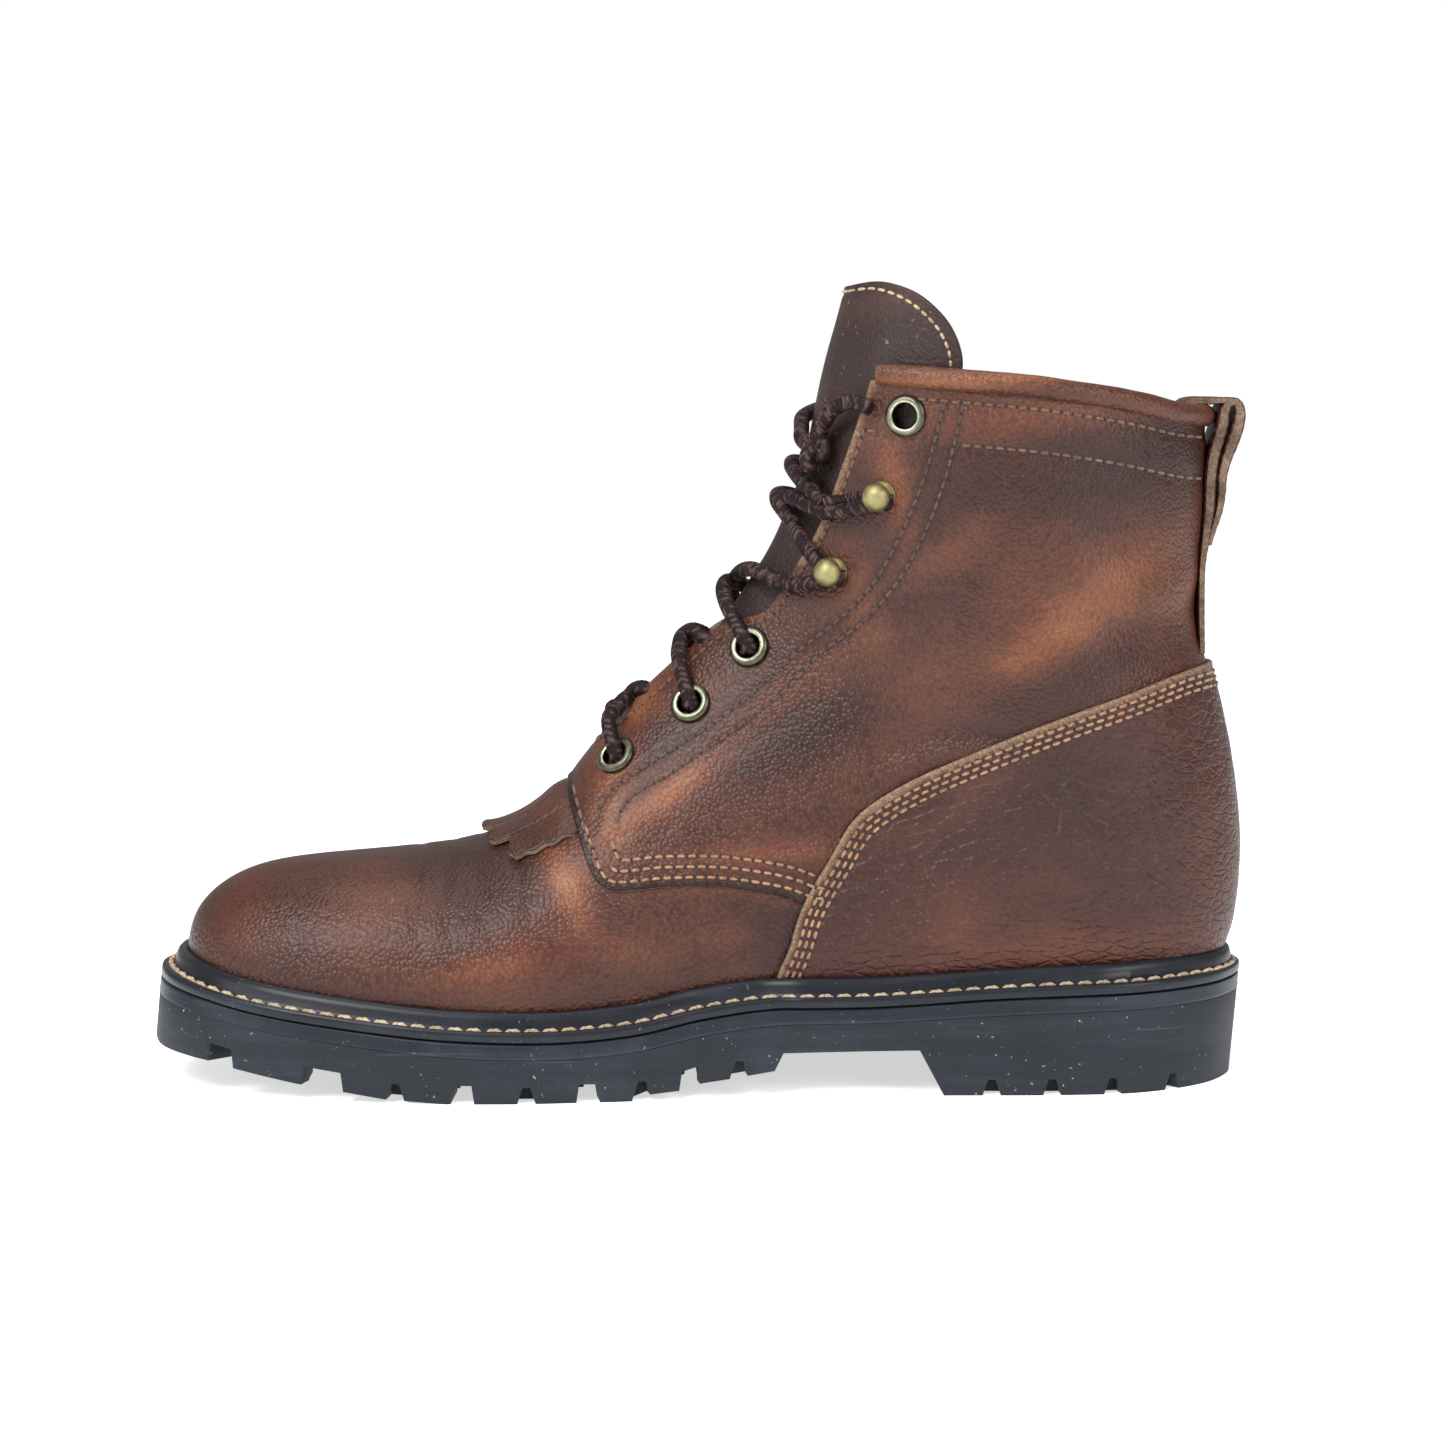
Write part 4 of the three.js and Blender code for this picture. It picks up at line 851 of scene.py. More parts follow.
def blobs(x, z, table):
    total = np.zeros(len(x))
    for cx, cz, half_x, half_z, turn, strength in table:
        angle = math.radians(turn)
        dx, dz = x - cx, z - cz
        along = (dx * math.cos(angle) + dz * math.sin(angle)) / half_x
        across = (-dx * math.sin(angle) + dz * math.cos(angle)) / half_z
        total += strength * np.exp(-(along**2 + across**2))
    return total


def creases(x, z, table):
    total = np.zeros(len(x))
    for depth, half, points in table:
        line = catmull(points, spacing=3)
        total -= depth * np.exp(-((line_distance(x, z, line) / half) ** 2))
    return total


def ripple(p, size, seed):
    """Smooth uneven swell of about one unit, from a few crossed waves."""
    total = np.zeros(len(p))
    rng = np.random.default_rng(seed)
    for k in range(7):
        direction = unit(rng.normal(size=3))
        wave = size * rng.uniform(0.7, 1.6)
        total += np.sin(p @ direction * 2 * np.pi / wave + rng.uniform(0, 6.28))
    return total / 3.5


# Seams in side view: how far each stitch row lies inside the edge that it follows
FACING_ROW = 1.9
QUARTER_ROWS = (2.6, 5.4, 8.2)
COUNTER_ROWS = (2.4, 4.1, 5.8)
COLLAR_ROW = 11.2
BAND_DEPTH = 22.5
PITCH = 3.0
TONGUE_PITCH = 2.6
STITCH_SHARE = 0.74  # of the pitch, where the thread shows
THREAD_RADIUS = 0.42
# Radius of the dark capsules that paint the shade of the needle holes
HOLE_SHADE_RADIUS = 0.55
WELT_THREAD_RADIUS = 0.72
OUTSIDE = 120.0  # where the rays that look for the leather start, away from the middle


def inset_line(line, distance):
    """A side-view line moved to its left-hand side."""
    step = unit(np.gradient(line, axis=0))
    moved = line + np.stack([-step[:, 1], step[:, 0]], axis=1) * distance
    keep = line_distance(moved[:, 0], moved[:, 1], line) > distance - 0.25
    return catmull(moved[keep][::3], spacing=0.5)


# The facing's double row, on its own line down to the quarter's lower edge
FACING_SEAM = [
    (-67, 187), (-64.4, 177), (-61.8, 167.5), (-55.8, 152), (-48.6, 138.5), (-40.6, 129.4),
    (-29.2, 120), (-18, 109.6), (-4, 98.6), (14.6, 87.2), (22, 82), (25.8, 76.4), (27, 70.6),
]
FACING_SEAM_OUT = [
    (-71.8, 186.5), (-69.4, 175.6), (-67, 166), (-61, 150), (-53.6, 137), (-45, 127),
    (-34.4, 119), (-24, 108), (-7.2, 95.4), (7.4, 85.6), (17.4, 79.6), (20.6, 75), (21, 70.6),
]


def seam_lines():
    """Every stitch row of the upper: name of its thread and its side-view line."""
    rows = []
    front = FRONT_LINE[np.argmin(np.abs(FRONT_LINE - (28.6, 62)).sum(axis=1)):]
    rows.append(("thread_mid", inset_line(front[front[:, 1] < 188], FACING_ROW)))
    for points in (FACING_SEAM, FACING_SEAM_OUT):
        rows.append(("thread_dark", catmull(points, spacing=0.5)))
    bottom = FRONT_LINE[(FRONT_LINE[:, 1] < 76) & (FRONT_LINE[:, 0] > -36)]
    for k, inset in enumerate(QUARTER_ROWS):
        line = inset_line(bottom, inset)
        rows.append(("thread", line if k == 0 else line[line[:, 0] < 25.5 - 1.2 * k]))
    counter = COUNTER_LINE[(COUNTER_LINE[:, 1] > 28) & (COUNTER_LINE[:, 0] > -147)]
    for inset in COUNTER_ROWS:
        rows.append(("thread", inset_line(counter, inset)))
    collar_x = np.linspace(-139, -53, 60)
    for drop, front_end in ((COLLAR_ROW, 0), (BAND_DEPTH, -68)):
        x = collar_x[collar_x < front_end]
        rows.append(("thread_mid", np.stack([x, collar_at(x) - drop + 2.4], axis=1)))
    rows.append(("thread_mid", catmull([(-43.5, 179.8), (-46.5, 179.4), (-50, 179.2)], spacing=0.5)))
    return rows


SEAMS = seam_lines()
TONGUE_SEAM = inset_line(TONGUE_LINE[TONGUE_LINE[:, 1] > 196], -2.4)


def seam_troughs(x, z, names):
    total = np.zeros(len(x))
    for thread_name, line in SEAMS:
        if thread_name in names:
            total -= 0.22 * np.exp(-((line_distance(x, z, line[::4]) / 0.9) ** 2))
    return total


def quarter_relief(base, depth):
    x, z = base[:, 0], base[:, 2]
    total = creases(x, z, SHAFT_CREASES) * np.clip(depth / 6, 0, 1)
    total += 0.22 * ripple(base, 34, 3)
    total += seam_troughs(x, z, ("thread", "thread_mid", "thread_dark"))
    below = collar_at(x) - z
    band = np.clip((below - 8) / 3, 0, 1) * np.clip((BAND_DEPTH - 2.5 - below) / 3, 0, 1)
    band *= np.clip((-64 - x) / 6, 0, 1)
    wrinkles = np.sin(x / 1.15 + 1.6 * np.sin(z / 3.1 + x / 17) + 2.2 * np.sin(x / 9.0))
    return total + band * (0.35 + 0.13 * wrinkles)


def vamp_relief(base, depth):
    x, z = base[:, 0], base[:, 2]
    total = creases(x, z, VAMP_CREASES) + 0.16 * ripple(base, 30, 8)
    fine = np.sin(x / 1.05 + 1.5 * np.sin(z / 6 + x / 13))
    return total + 0.05 * fine * np.exp(-(((x - 66) / 24) ** 2)) * np.clip((z - 38) / 12, 0, 1)


def counter_relief(base, depth):
    x, z = base[:, 0], base[:, 2]
    total = creases(x, z, COUNTER_CREASES)
    total += 0.12 * ripple(base, 26, 5) + 0.07 * ripple(base, 6, 6) * np.clip(depth / 14, 0, 1)
    total += seam_troughs(x, z, ("thread",))
    return total - 1.2 * np.exp(-(((z - 30) / 9) ** 2)) * np.clip((-100 - x) / 25, 0, 1)


def tone_of(obj, table, base_tone, edge_line=None, reds=(), scuff=(), rims=()):
    """Sets the tone, red, scuff and rim of each point. A rim is a line, its width, and how far the
    leather there turns to the pale fibre of a raw edge (positive) or darkens (negative)."""
    p = own_points(obj)
    x, z = p[:, 0], p[:, 2]
    tone = base_tone + blobs(x, z, table) + 0.05 * ripple(p, 60, 12)
    if edge_line is not None:
        tone += 0.12 * np.exp(-((line_distance(x, z, edge_line[::3]) / 2.2) ** 2))
    rim = np.zeros(len(p))
    for line, width, strength in rims:
        near = np.exp(-((line_distance(x, z, line) / width) ** 4))
        if strength > 0:
            rim = np.maximum(rim, near * strength)
        else:
            tone += near * strength
    # Painted shade: the leather darkens in the groove of each dark seam row
    for thread_name, line in SEAMS:
        if thread_name == "thread_dark":
            tone -= 0.16 * np.exp(-((line_distance(x, z, line[::4]) / 1.1) ** 2))
    scuffs = blobs(x, z, scuff) if scuff else np.full(len(p), 0.25)
    set_attribute(obj, "rim", rim)
    set_attribute(obj, "tone", np.clip(tone, 0, 1))
    set_attribute(obj, "red", np.clip(blobs(x, z, reds), 0, 1))
    set_attribute(obj, "scuff", np.clip(scuffs, 0, 1))


LEATHER = ("upper", "lining", "raw")


def build_vamp():
    # The front of the upper, cut back at the throat and run a little way under the quarters
    under = 9.0
    fields = [
        lambda x, z: -throat_field(x, z),
        seat_field,
        lambda x, z: under - quarter_field(x, z),
    ]
    us = even_stations(0.0, 14.2)
    obj = panel("vamp", us, ALL_ROUND, fields, 0.0, -WALL, vamp_relief, LEATHER)
    scuffs = [(72, 50, 26, 16, 0, 0.9), (20, 40, 30, 14, 0, 0.3)]
    tone_of(obj, VAMP_TONES, 0.44, FRONT_LINE, VAMP_REDS, scuffs)
    return hand_in(obj, "upper_leather", "upper")


def build_quarters():
    # Both quarters, joined down the back seam
    holes = []
    for x, z in EYELETS:
        for side in (1, -1):
            holes.append(last_point(*find_on_side(x * LENGTH, z * HEIGHT, side)))

    def hole_field(p):
        return np.min([np.linalg.norm(p - hole, axis=1) for hole in holes], axis=0) - EYELET_HOLE

    fields = [quarter_field, lambda x, z: -throat_field(x, z), seat_field, collar_field]
    us = even_stations(7.8, 22.6)
    inner = -WALL - 0.05
    obj = panel("quarters", us, ALL_ROUND, fields, OVERLAY, inner, quarter_relief, LEATHER, [hole_field])
    upper_edge = FACING_LINE[FACING_LINE[:, 1] > 143]
    rims = [(FRONT_LINE[FRONT_LINE[:, 1] < 100], 1.7, -0.5), (upper_edge, 1.0, 0.7)]
    tone_of(obj, SHAFT_TONES, 0.46, FRONT_LINE, VAMP_REDS, [(-110, 150, 40, 30, 0, 0.5)], rims)
    return hand_in(obj, "upper_leather", "upper")


def build_counter():
    inner = OVERLAY + GAP
    outer = inner + COUNTER
    us = even_stations(9.0, 20.4)
    fields = [counter_field, seat_field]
    materials = ("counter", "lining", "raw")
    obj = panel("counter", us, ALL_ROUND, fields, outer, inner, counter_relief, materials)
    scuffs = [(-110, 70, 40, 20, 0, 0.5)]
    tone_of(obj, COUNTER_TONES, 0.42, COUNTER_LINE, (), scuffs, [(COUNTER_LINE, 1.1, 0.85)])
    return hand_in(obj, "counter_leather", "heel_counter")


def build_tongue():
    def relief(base, depth):
        return 0.25 * ripple(base, 22, 31) - 0.3 * np.exp(-(((depth - 1.9) / 0.7) ** 2))

    def lift(base):
        # The top rolls a little forward and its corners fall back
        rise = np.clip((base[:, 2] - 196) / 24, 0, 1)
        return rise**2 * (1.4 - 0.02 * np.abs(base[:, 1]) ** 1.2)

    us = even_stations(9.0, 24.0, 1.3)
    vs = np.linspace(-0.24, 0.24, 120)
    outer = -max(WALL, ROLL_RADIUS - (OVERLAY - WALL) / 2 - ROLL_OUT) - GAP
    materials = ("tongue", "lining", "dark_edge")
    obj = panel("tongue", us, vs, [tongue_field], outer, outer - TONGUE, relief, materials, lift=lift)
    tone_of(obj, TONGUE_TONES, 0.42, scuff=[(-45, 205, 20, 14, 0, 0.9)])
    return hand_in(obj, "tongue_leather", "tongue")


FLAP_HALF = 27.0
FLAP_TIP = 58.8
FLAP_BACK = 30.0
FLAP_STRIPS = 6
STRIP_TIPS = (0.6, 2.8, 8.7)  # how far each strip stops short of the longest, from the middle out


def build_flap():
    # The fringed flap over the vamp: six strips, slit halfway up, with rounded ends
    width = 2 * FLAP_HALF / FLAP_STRIPS
    root = FLAP_TIP - 0.45 * (FLAP_TIP - FLAP_BACK)

    def strips(p):
        x, y = p[:, 0], p[:, 1]
        side = (y + FLAP_HALF) / width
        share = side - np.floor(side)
        number = np.clip(np.floor(np.abs(y) / width), 0, 2).astype(int)
        tip = FLAP_TIP - np.array(STRIP_TIPS)[number] - 1.3 * np.abs(2 * share - 1) ** 5
        tip += 0.35 * np.sin(y * 2.1)
        field = np.minimum(tip - x, FLAP_HALF + 0.3 * np.sin(x * 1.2) - np.abs(y))
        nearest = np.round(side)
        slit = np.abs(side - nearest) * width - 0.4
        slit = np.where((nearest > 0) & (nearest < FLAP_STRIPS), np.maximum(slit, root - x), 9)
        return np.minimum(field, slit)

    def behind(x, z):
        return np.minimum(0.9 - quarter_field(x, z), -throat_field(x, z))

    def lift(base):
        # The strips' ends stand up a little, each by its own amount
        side = np.floor((base[:, 1] + FLAP_HALF) / width)
        own = 0.55 + 0.45 * np.sin(side * 2.4 + 1)
        tucked = np.clip(1 + (quarter_field(base[:, 0], base[:, 2]) + 0.4) / 5, 0, 1)
        return 0.25 - 1.5 * tucked**2 + 1.9 * own * np.clip((base[:, 0] - 46) / 13, 0, 1) ** 2

    def slits(base, depth):
        side = (base[:, 1] + FLAP_HALF) / width
        away = np.abs(side - np.round(side)) * width
        inner = (np.abs(base[:, 1]) < FLAP_HALF - 3) & (base[:, 0] < root + 1)
        return -0.5 * np.exp(-((away / 0.45) ** 2)) * inner

    us = np.linspace(7.2, 11.0, 120)
    vs = np.linspace(-0.2, 0.2, 260)
    obj = panel("kiltie", us, vs, [behind], GAP + FLAP, GAP, slits, LEATHER, [strips], lift)
    tone_of(obj, [(38, 76, 10, 6, 30, 0.1)], 0.46, scuff=[(46, 74, 20, 10, 0, 0.7)])
    hand_in(obj, "upper_leather", "fringe_flap")


# Tubes and bands


def tube(points, radius, around):
    """Points, faces, and the place along and around of each point, for a tube on a smooth line."""
    tangent = unit(np.gradient(points, axis=0))
    side = unit(np.cross(tangent[0], (0.3, 0.2, 1.0)))
    sides = []
    for direction in tangent:
        side = unit(side - direction * np.dot(side, direction))
        sides.append(side)
    sides = np.array(sides)[:, None]
    ups = np.cross(tangent, sides[:, 0])[:, None]
    along = distances(points)
    angle = np.arange(around) * 2 * np.pi / around
    s, a = np.meshgrid(along, angle, indexing="ij")
    ring = sides * np.cos(angle)[None, :, None] + ups * np.sin(angle)[None, :, None]
    grid = points[:, None] + ring * radius(s, a)[..., None]
    return grid.reshape(-1, 3), ring_faces(len(points), around), s.ravel(), a.ravel()


def build_collar_roll():
    centre = (OVERLAY - WALL) / 2 + ROLL_OUT
    spots = []
    for v in np.linspace(0.075, 0.925, 45):
        us = np.linspace(LAST_END - 8, LAST_END, 400)
        line = form_point(us, np.full(400, v), np.full(400, centre))
        k = np.argmax(line[:, 2] > collar_at(line[:, 0]) - ROLL_RADIUS)
        spots.append(line[k])
    path = catmull([p for p in spots if p[0] < FACING[-1][0] * LENGTH + 1], spacing=1.2)

    def radius(s, a):
        p = np.stack([s, 4 * np.cos(a), 4 * np.sin(a)], axis=-1).reshape(-1, 3)
        return (ROLL_RADIUS + 0.12 * ripple(p, 24, 4) + 0.05 * ripple(p, 7, 9)).reshape(s.shape)

    points, faces, _, _ = tube(path, radius, 24)
    obj = new_object("roll", points, faces, ("upper",))
    # The lighter band along the top of the roll is a painted highlight
    tone_of(obj, [(-90, 194, 60, 2.5, -4, 0.26)], 0.56, scuff=[(-100, 192, 60, 8, 0, 0.4)])
    hand_in(obj, "upper_leather", "collar_roll")


# The pull loop: two layers of strap up the back seam, with a hollow at the top, and its tail
# over the roll to the inside
LOOP_PATH = [
    (-140.1, 117.6, 1.5), (-139.7, 130, 1.8), (-139.8, 142, 1.8), (-140.7, 150, 2.4), (-141.6, 158, 3),
    (-141.8, 165, 3.2), (-142.4, 171, 3.3), (-143.6, 176, 3.3), (-145, 181, 3.2), (-145.4, 184.2, 2.8),
    (-146.7, 186.6, 2.5), (-148.5, 186.8, 2.5), (-149.6, 184.6, 2.9), (-149.2, 180.5, 3.3),
    (-147.7, 175.6, 3.2), (-146, 171, 2.9), (-145, 166.5, 2.6), (-144.9, 162, 2.2),
    (-144.2, 157, 2), (-142.6, 151.5, 1.6), (-141.7, 147.5, 1),
]
STRAP_PATH = [
    (-147.6, 187.2, 1.6), (-144.5, 187.3, 1.9), (-141, 187.2, 2.2), (-137.8, 187.2, 2.2), (-134.8, 186.4, 2),
    (-133.3, 182.8, 1.8), (-133.7, 176, 1.6), (-134.6, 170, 1.6),
]


def strap_strip(name, path):
    """A strip of strap: its path in side view with its thickness, rounded edges; face and raw edge."""
    line = catmull(path, spacing=0.8)
    tangent = unit(np.gradient(line[:, :2], axis=0))
    half = LOOP_WIDTH / 2
    across = [half - 0.5, half * 0.5, 0, -half * 0.5, -half + 0.5]
    profile = [(half, 0.35), *[(y, 0.5) for y in across], (-half, 0.35)]
    profile += [(y, -share) for y, share in reversed(profile)]
    edges = (len(profile) // 2 - 1, len(profile) - 1)
    points = []
    for i, ((x, z, thick), (along_x, along_z)) in enumerate(zip(line, tangent)):
        for k, (y, share) in enumerate(profile):
            fray = 0.22 * math.sin(i * 1.7 + 2.3 * k) * (abs(y) > half - 0.6)
            points.append((x - along_z * thick * share, y + fray, z + along_x * thick * share))
    slots = [int(k in edges) for _ in line[1:] for k in range(len(profile))] + [1, 1]
    faces = ring_faces(len(line), len(profile))
    return new_object(name, points, faces, ("strap", "raw"), slots)


def build_pull_loop():
    for name, path in (("pull_loop_fold", LOOP_PATH), ("pull_loop_strap", STRAP_PATH)):
        obj = strap_strip(name, path)
        tone_of(obj, [(-140, 190, 14, 5, 0, 0.15)], 0.46)
        hand_in(obj, "upper_leather", "pull_loop")


# The sole
OUTLINE = [
    (0.483, 0.22, 0.16), (0.45, 0.34, 0.31), (0.4, 0.42, 0.42), (0.3333, 0.475, 0.495),
    (0.25, 0.51, 0.55), (0.1667, 0.52, 0.58), (0.0833, 0.495, 0.585), (0, 0.455, 0.55),
    (-0.0833, 0.425, 0.495), (-0.1667, 0.41, 0.455), (-0.25, 0.41, 0.425), (-0.3333, 0.41, 0.415),
    (-0.4, 0.385, 0.385), (-0.45, 0.305, 0.31), (-0.4867, 0.19, 0.19),
]
TOE_TIP = (0.497, 0.03)
HEEL_TIP = (-0.509, 0.0)
TREAD = [
    (0.52, 0.45), (0.493, 0.342), (0.443, 0.3), (0.41, 0.24), (0.357, 0.15), (0.31, 0.086),
    (0.277, 0.036), (0.222, 0), (0.055, 0), (0.04, 0.055), (0.013, 0.08), (-0.007, 0.14),
    (-0.035, 0.175), (-0.072, 0.232),
]
ARCH = [(-0.08, 0.387), (-0.203, 0.4), (-0.225, 0)]
GROOVES = [(0.427, 6), (0.333, 9.5), (0.207, 4.2), (0.095, 4.2), (0.004, 3.5)]
NOTCHES = [0.267, 0.15, 0.047, -0.04, -0.268, -0.323, -0.379, -0.439]
MIDSOLE_TOP = WELT + GAP
OUTSOLE_TOP = MIDSOLE_TOP + MIDSOLE + GAP
AROUND_SOLE = 300

ring_points = [TOE_TIP] + [(x, med) for x, med, _ in OUTLINE] + [HEEL_TIP]
ring_points += [(x, -lat) for x, _, lat in reversed(OUTLINE)]
SOLE_RING = catmull(np.array(ring_points) * (LENGTH, BALL_WIDTH), closed=True, count=AROUND_SOLE)
step = np.roll(SOLE_RING, -1, axis=0) - np.roll(SOLE_RING, 1, axis=0)
SOLE_OUT = unit(np.stack([-step[:, 1], step[:, 0]], axis=1))
if np.sum(SOLE_OUT * SOLE_RING) < 0:
    SOLE_OUT = -SOLE_OUT
SOLE_SHARE = SOLE_RING[:, 0] / LENGTH
SOLE_SPREAD = np.where(SOLE_SHARE > 0, TOE_FLARE, -HEEL_TAPER) * np.minimum(1, 2 * np.abs(SOLE_SHARE)) ** 2


def ring_at(inset, z):
    """The sole's outline drawn in by inset at heights z, with its flare towards the tread."""
    z = np.broadcast_to(z, (AROUND_SOLE,))
    flare = (RIM_HEIGHT - z) / RIM_HEIGHT
    flat = SOLE_RING + SOLE_OUT * (flare * SOLE_SPREAD - inset)[:, None]
    return np.column_stack([flat, z])


def lofted(rings, closed=False):
    return np.vstack(rings), ring_faces(len(rings), len(rings[0]), closed)


def raw_body(points, faces):
    """A plain closed mesh object for cutting, with its faces turned outwards."""
    mesh = bpy.data.meshes.new("body")
    mesh.from_pydata(np.asarray(points, float).tolist(), [], faces)
    work = bmesh.new()
    work.from_mesh(mesh)
    bmesh.ops.recalc_face_normals(work, faces=work.faces[:])
    bmesh.ops.triangulate(work, faces=[f for f in work.faces if len(f.verts) > 4])
    work.to_mesh(mesh)
    work.free()
    obj = bpy.data.objects.new("body", mesh)
    bpy.context.scene.collection.objects.link(obj)
    return obj


def side_prism(points, half=150.0):
    near = [(x, half, z) for x, z in points]
    far = [(x, -half, z) for x, z in points]
    count = len(near)
    faces = [list(range(count)), [count + k for k in reversed(range(count))]]
    for k in range(count):
        m = (k + 1) % count
        faces.append([m, k, count + k, count + m])
    return raw_body(near + far, faces)


def block(x, y, angle, length, width, low, high, spread=0.0):
    """A box turned about +Z, wider at its foot by the spread."""
    c, s = math.cos(angle), math.sin(angle)
    points = []
    for z, wide in ((low, width + spread), (high, width)):
        for a, b in ((-1, -1), (1, -1), (1, 1), (-1, 1)):
            a, b = a * length / 2, b * wide / 2
            points.append((x + a * c - b * s, y + a * s + b * c, z))
    faces = [[0, 3, 2, 1], [4, 5, 6, 7], [0, 1, 5, 4], [1, 2, 6, 5], [2, 3, 7, 6], [3, 0, 4, 7]]
    return raw_body(points, faces)


def combine(obj, others, operation):
    """Cuts or joins, with what is cut away removed from the scene."""
    for other in others:
        modifier = obj.modifiers.new("cut", "BOOLEAN")
        modifier.operation = operation
        modifier.solver = "MANIFOLD"
        modifier.object = other
    graph = bpy.context.evaluated_depsgraph_get()
    mesh = bpy.data.meshes.new_from_object(obj.evaluated_get(graph))
    obj.modifiers.clear()
    obj.data = mesh
    for other in others:
        bpy.data.objects.remove(other)
    return obj


def sole_block(low, high):
    return raw_body(*lofted([ring_at(0, z) for z in np.linspace(low, high, 6)]))


def upright_block(inset, low, high):
    flat = SOLE_RING - SOLE_OUT * inset
    rings = [np.column_stack([flat, np.full(AROUND_SOLE, z)]) for z in (low, high)]
    return raw_body(*lofted(rings))


def edge_place(x, side):
    near = [k for k in range(AROUND_SOLE) if np.sign(SOLE_RING[k, 1] or 1) == side]
    k = min(near, key=lambda i: abs(SOLE_RING[i, 0] - x))
    direction = SOLE_RING[(k + 1) % AROUND_SOLE] - SOLE_RING[k]
    return SOLE_RING[k, 1], math.atan2(direction[1], direction[0])


def tread_height(x):
    if x < ARCH[-1][0] * LENGTH:
        return 0.0
    rows = np.array(sorted(TREAD + ARCH[:2]))
    return float(np.interp(x / LENGTH, rows[:, 0], rows[:, 1]) * RIM_HEIGHT)


def tread_block(raised):
    line = [(x * LENGTH, z * RIM_HEIGHT + raised) for x, z in TREAD + ARCH]
    line.append((-0.56 * LENGTH, raised))
    return side_prism(line + [(line[-1][0], -80), (line[0][0], -80)])


def notch_cut(x, side):
    """A tooth that cuts one notch of the tread's edge."""
    y, angle = edge_place(x, side)
    wide = NOTCH_WIDTH / 2
    shape = [(-wide * 1.4, -1), (wide * 1.4, -1), (wide * 0.5, NOTCH_DEPTH), (-wide * 0.5, NOTCH_DEPTH)]
    tooth = side_prism(shape, NOTCH_REACH)
    turn = np.array([[math.cos(angle), -math.sin(angle)], [math.sin(angle), math.cos(angle)]])
    for vertex in tooth.data.vertices:
        flat = turn @ np.array(vertex.co[:2]) + (x, y)
        vertex.co = (flat[0], flat[1], vertex.co[2] + tread_height(x))
    return tooth


def tread_pattern():
    """What is cut up into the tread: the channel inside the edge and the grooves across."""
    channel = combine(
        upright_block(LUG_LENGTH, -60, 60), [upright_block(LUG_LENGTH + CHANNEL, -70, 70)], "DIFFERENCE"
    )
    reach = LUG_LENGTH + CHANNEL / 2
    bars = []
    for side in (1, -1):
        for share, width in GROOVES:
            x = share * LENGTH
            y, angle = edge_place(x, side)
            foot = tread_height(x) - 4
            bars.append(block(x, y, angle + math.pi / 2, 2 * reach, width - 0.8, foot, foot + 14, 4.2))
    for share, width in GROOVES[1:]:
        bars.append(block(share * LENGTH, 0, math.pi / 2, BALL_WIDTH - reach, width, -62, 62))
    pattern = combine(channel, bars, "UNION")
    front, back = ARCH[0][0], ARCH[1][0]
    arch = block((front + back) / 2 * LENGTH, 0, 0, (front - back) * LENGTH, 300, -90, 90)
    pattern = combine(pattern, [arch], "DIFFERENCE")
    return combine(pattern, [tread_block(LUG_DEPTH)], "INTERSECT")


def build_outsole():
    stops = np.linspace(-0.56 * LENGTH, 0.56 * LENGTH, 120)
    top = [(x, float(rim_at(x)) - OUTSOLE_TOP) for x in stops]
    layer = side_prism([(stops[0], -20)] + top + [(stops[-1], -20)])
    body = combine(sole_block(-10, 38), [layer], "INTERSECT")
    cuts = [tread_block(0.0), tread_pattern()]
    cuts += [notch_cut(share * LENGTH, side) for share in NOTCHES for side in (1, -1)]
    body = combine(body, cuts, "DIFFERENCE")
    bevel = body.modifiers.new("edge", "BEVEL")
    bevel.width = 0.55
    bevel.segments = 2
    bevel.limit_method = "ANGLE"
    bevel.angle_limit = math.radians(38)
    body = combine(body, [], "UNION")
    points = mesh_points(body.data)
    faces = [list(face.vertices) for face in body.data.polygons]
    bpy.data.objects.remove(body)
    obj = new_object("lug_sole", points, faces, ("rubber",), sharp=30)
    hand_in(obj, "sole_rubber", "outsole")


def build_midsole():
    # The band between welt and lugs, a little proud at its lower edge
    high = rim_at(SOLE_RING[:, 0]) - MIDSOLE_TOP
    profile = [
        (9, 0), (1.2, 0), (0.15, 0.25), (0, 0.7), (0, MIDSOLE - 1.0), (-0.12, MIDSOLE - 0.6),
        (-0.1, MIDSOLE + 0.1), (0.25, MIDSOLE + 0.3), (9, MIDSOLE + 0.3),
    ]
    points, faces = lofted([ring_at(inset, high - down) for inset, down in profile])
    obj = new_object("midsole_band", points, faces, ("midsole",), sharp=60)
    hand_in(obj, "sole_rubber", "midsole")


def tree_of(objects):
    """One search tree over several objects, in the part's own millimetres."""
    points = []
    faces = []
    for obj in objects:
        start = sum(len(p) for p in points)
        points.append(own_points(obj))
        faces += [[k + start for k in face.vertices] for face in obj.data.polygons]
    return BVHTree.FromPolygons(np.vstack(points).tolist(), faces)


SEAM_INSET = 2.9  # the welt's stitches, in from its edge


def leather_inset(tree, edge, height):
    """How far in from the sole's edge the leather stands at a height over the rim, all round."""
    row = []
    for spot, out in zip(edge, SOLE_OUT):
        outward = Vector((*out, 0))
        hit = tree.ray_cast(Vector((*spot[:2], spot[2] + height)) + outward * 3, -outward, 40)
        row.append(hit[3] - 3 if hit[0] is not None else np.nan)
    row = np.array(row)
    known = ~np.isnan(row)
    spots = np.arange(AROUND_SOLE)
    row = np.interp(spots, spots[known], row[known], period=AROUND_SOLE)
    kernel = np.array([1, 2, 3, 2, 1]) / 9
    return np.convolve(np.concatenate([row[-2:], row, row[:2]]), kernel, "valid")


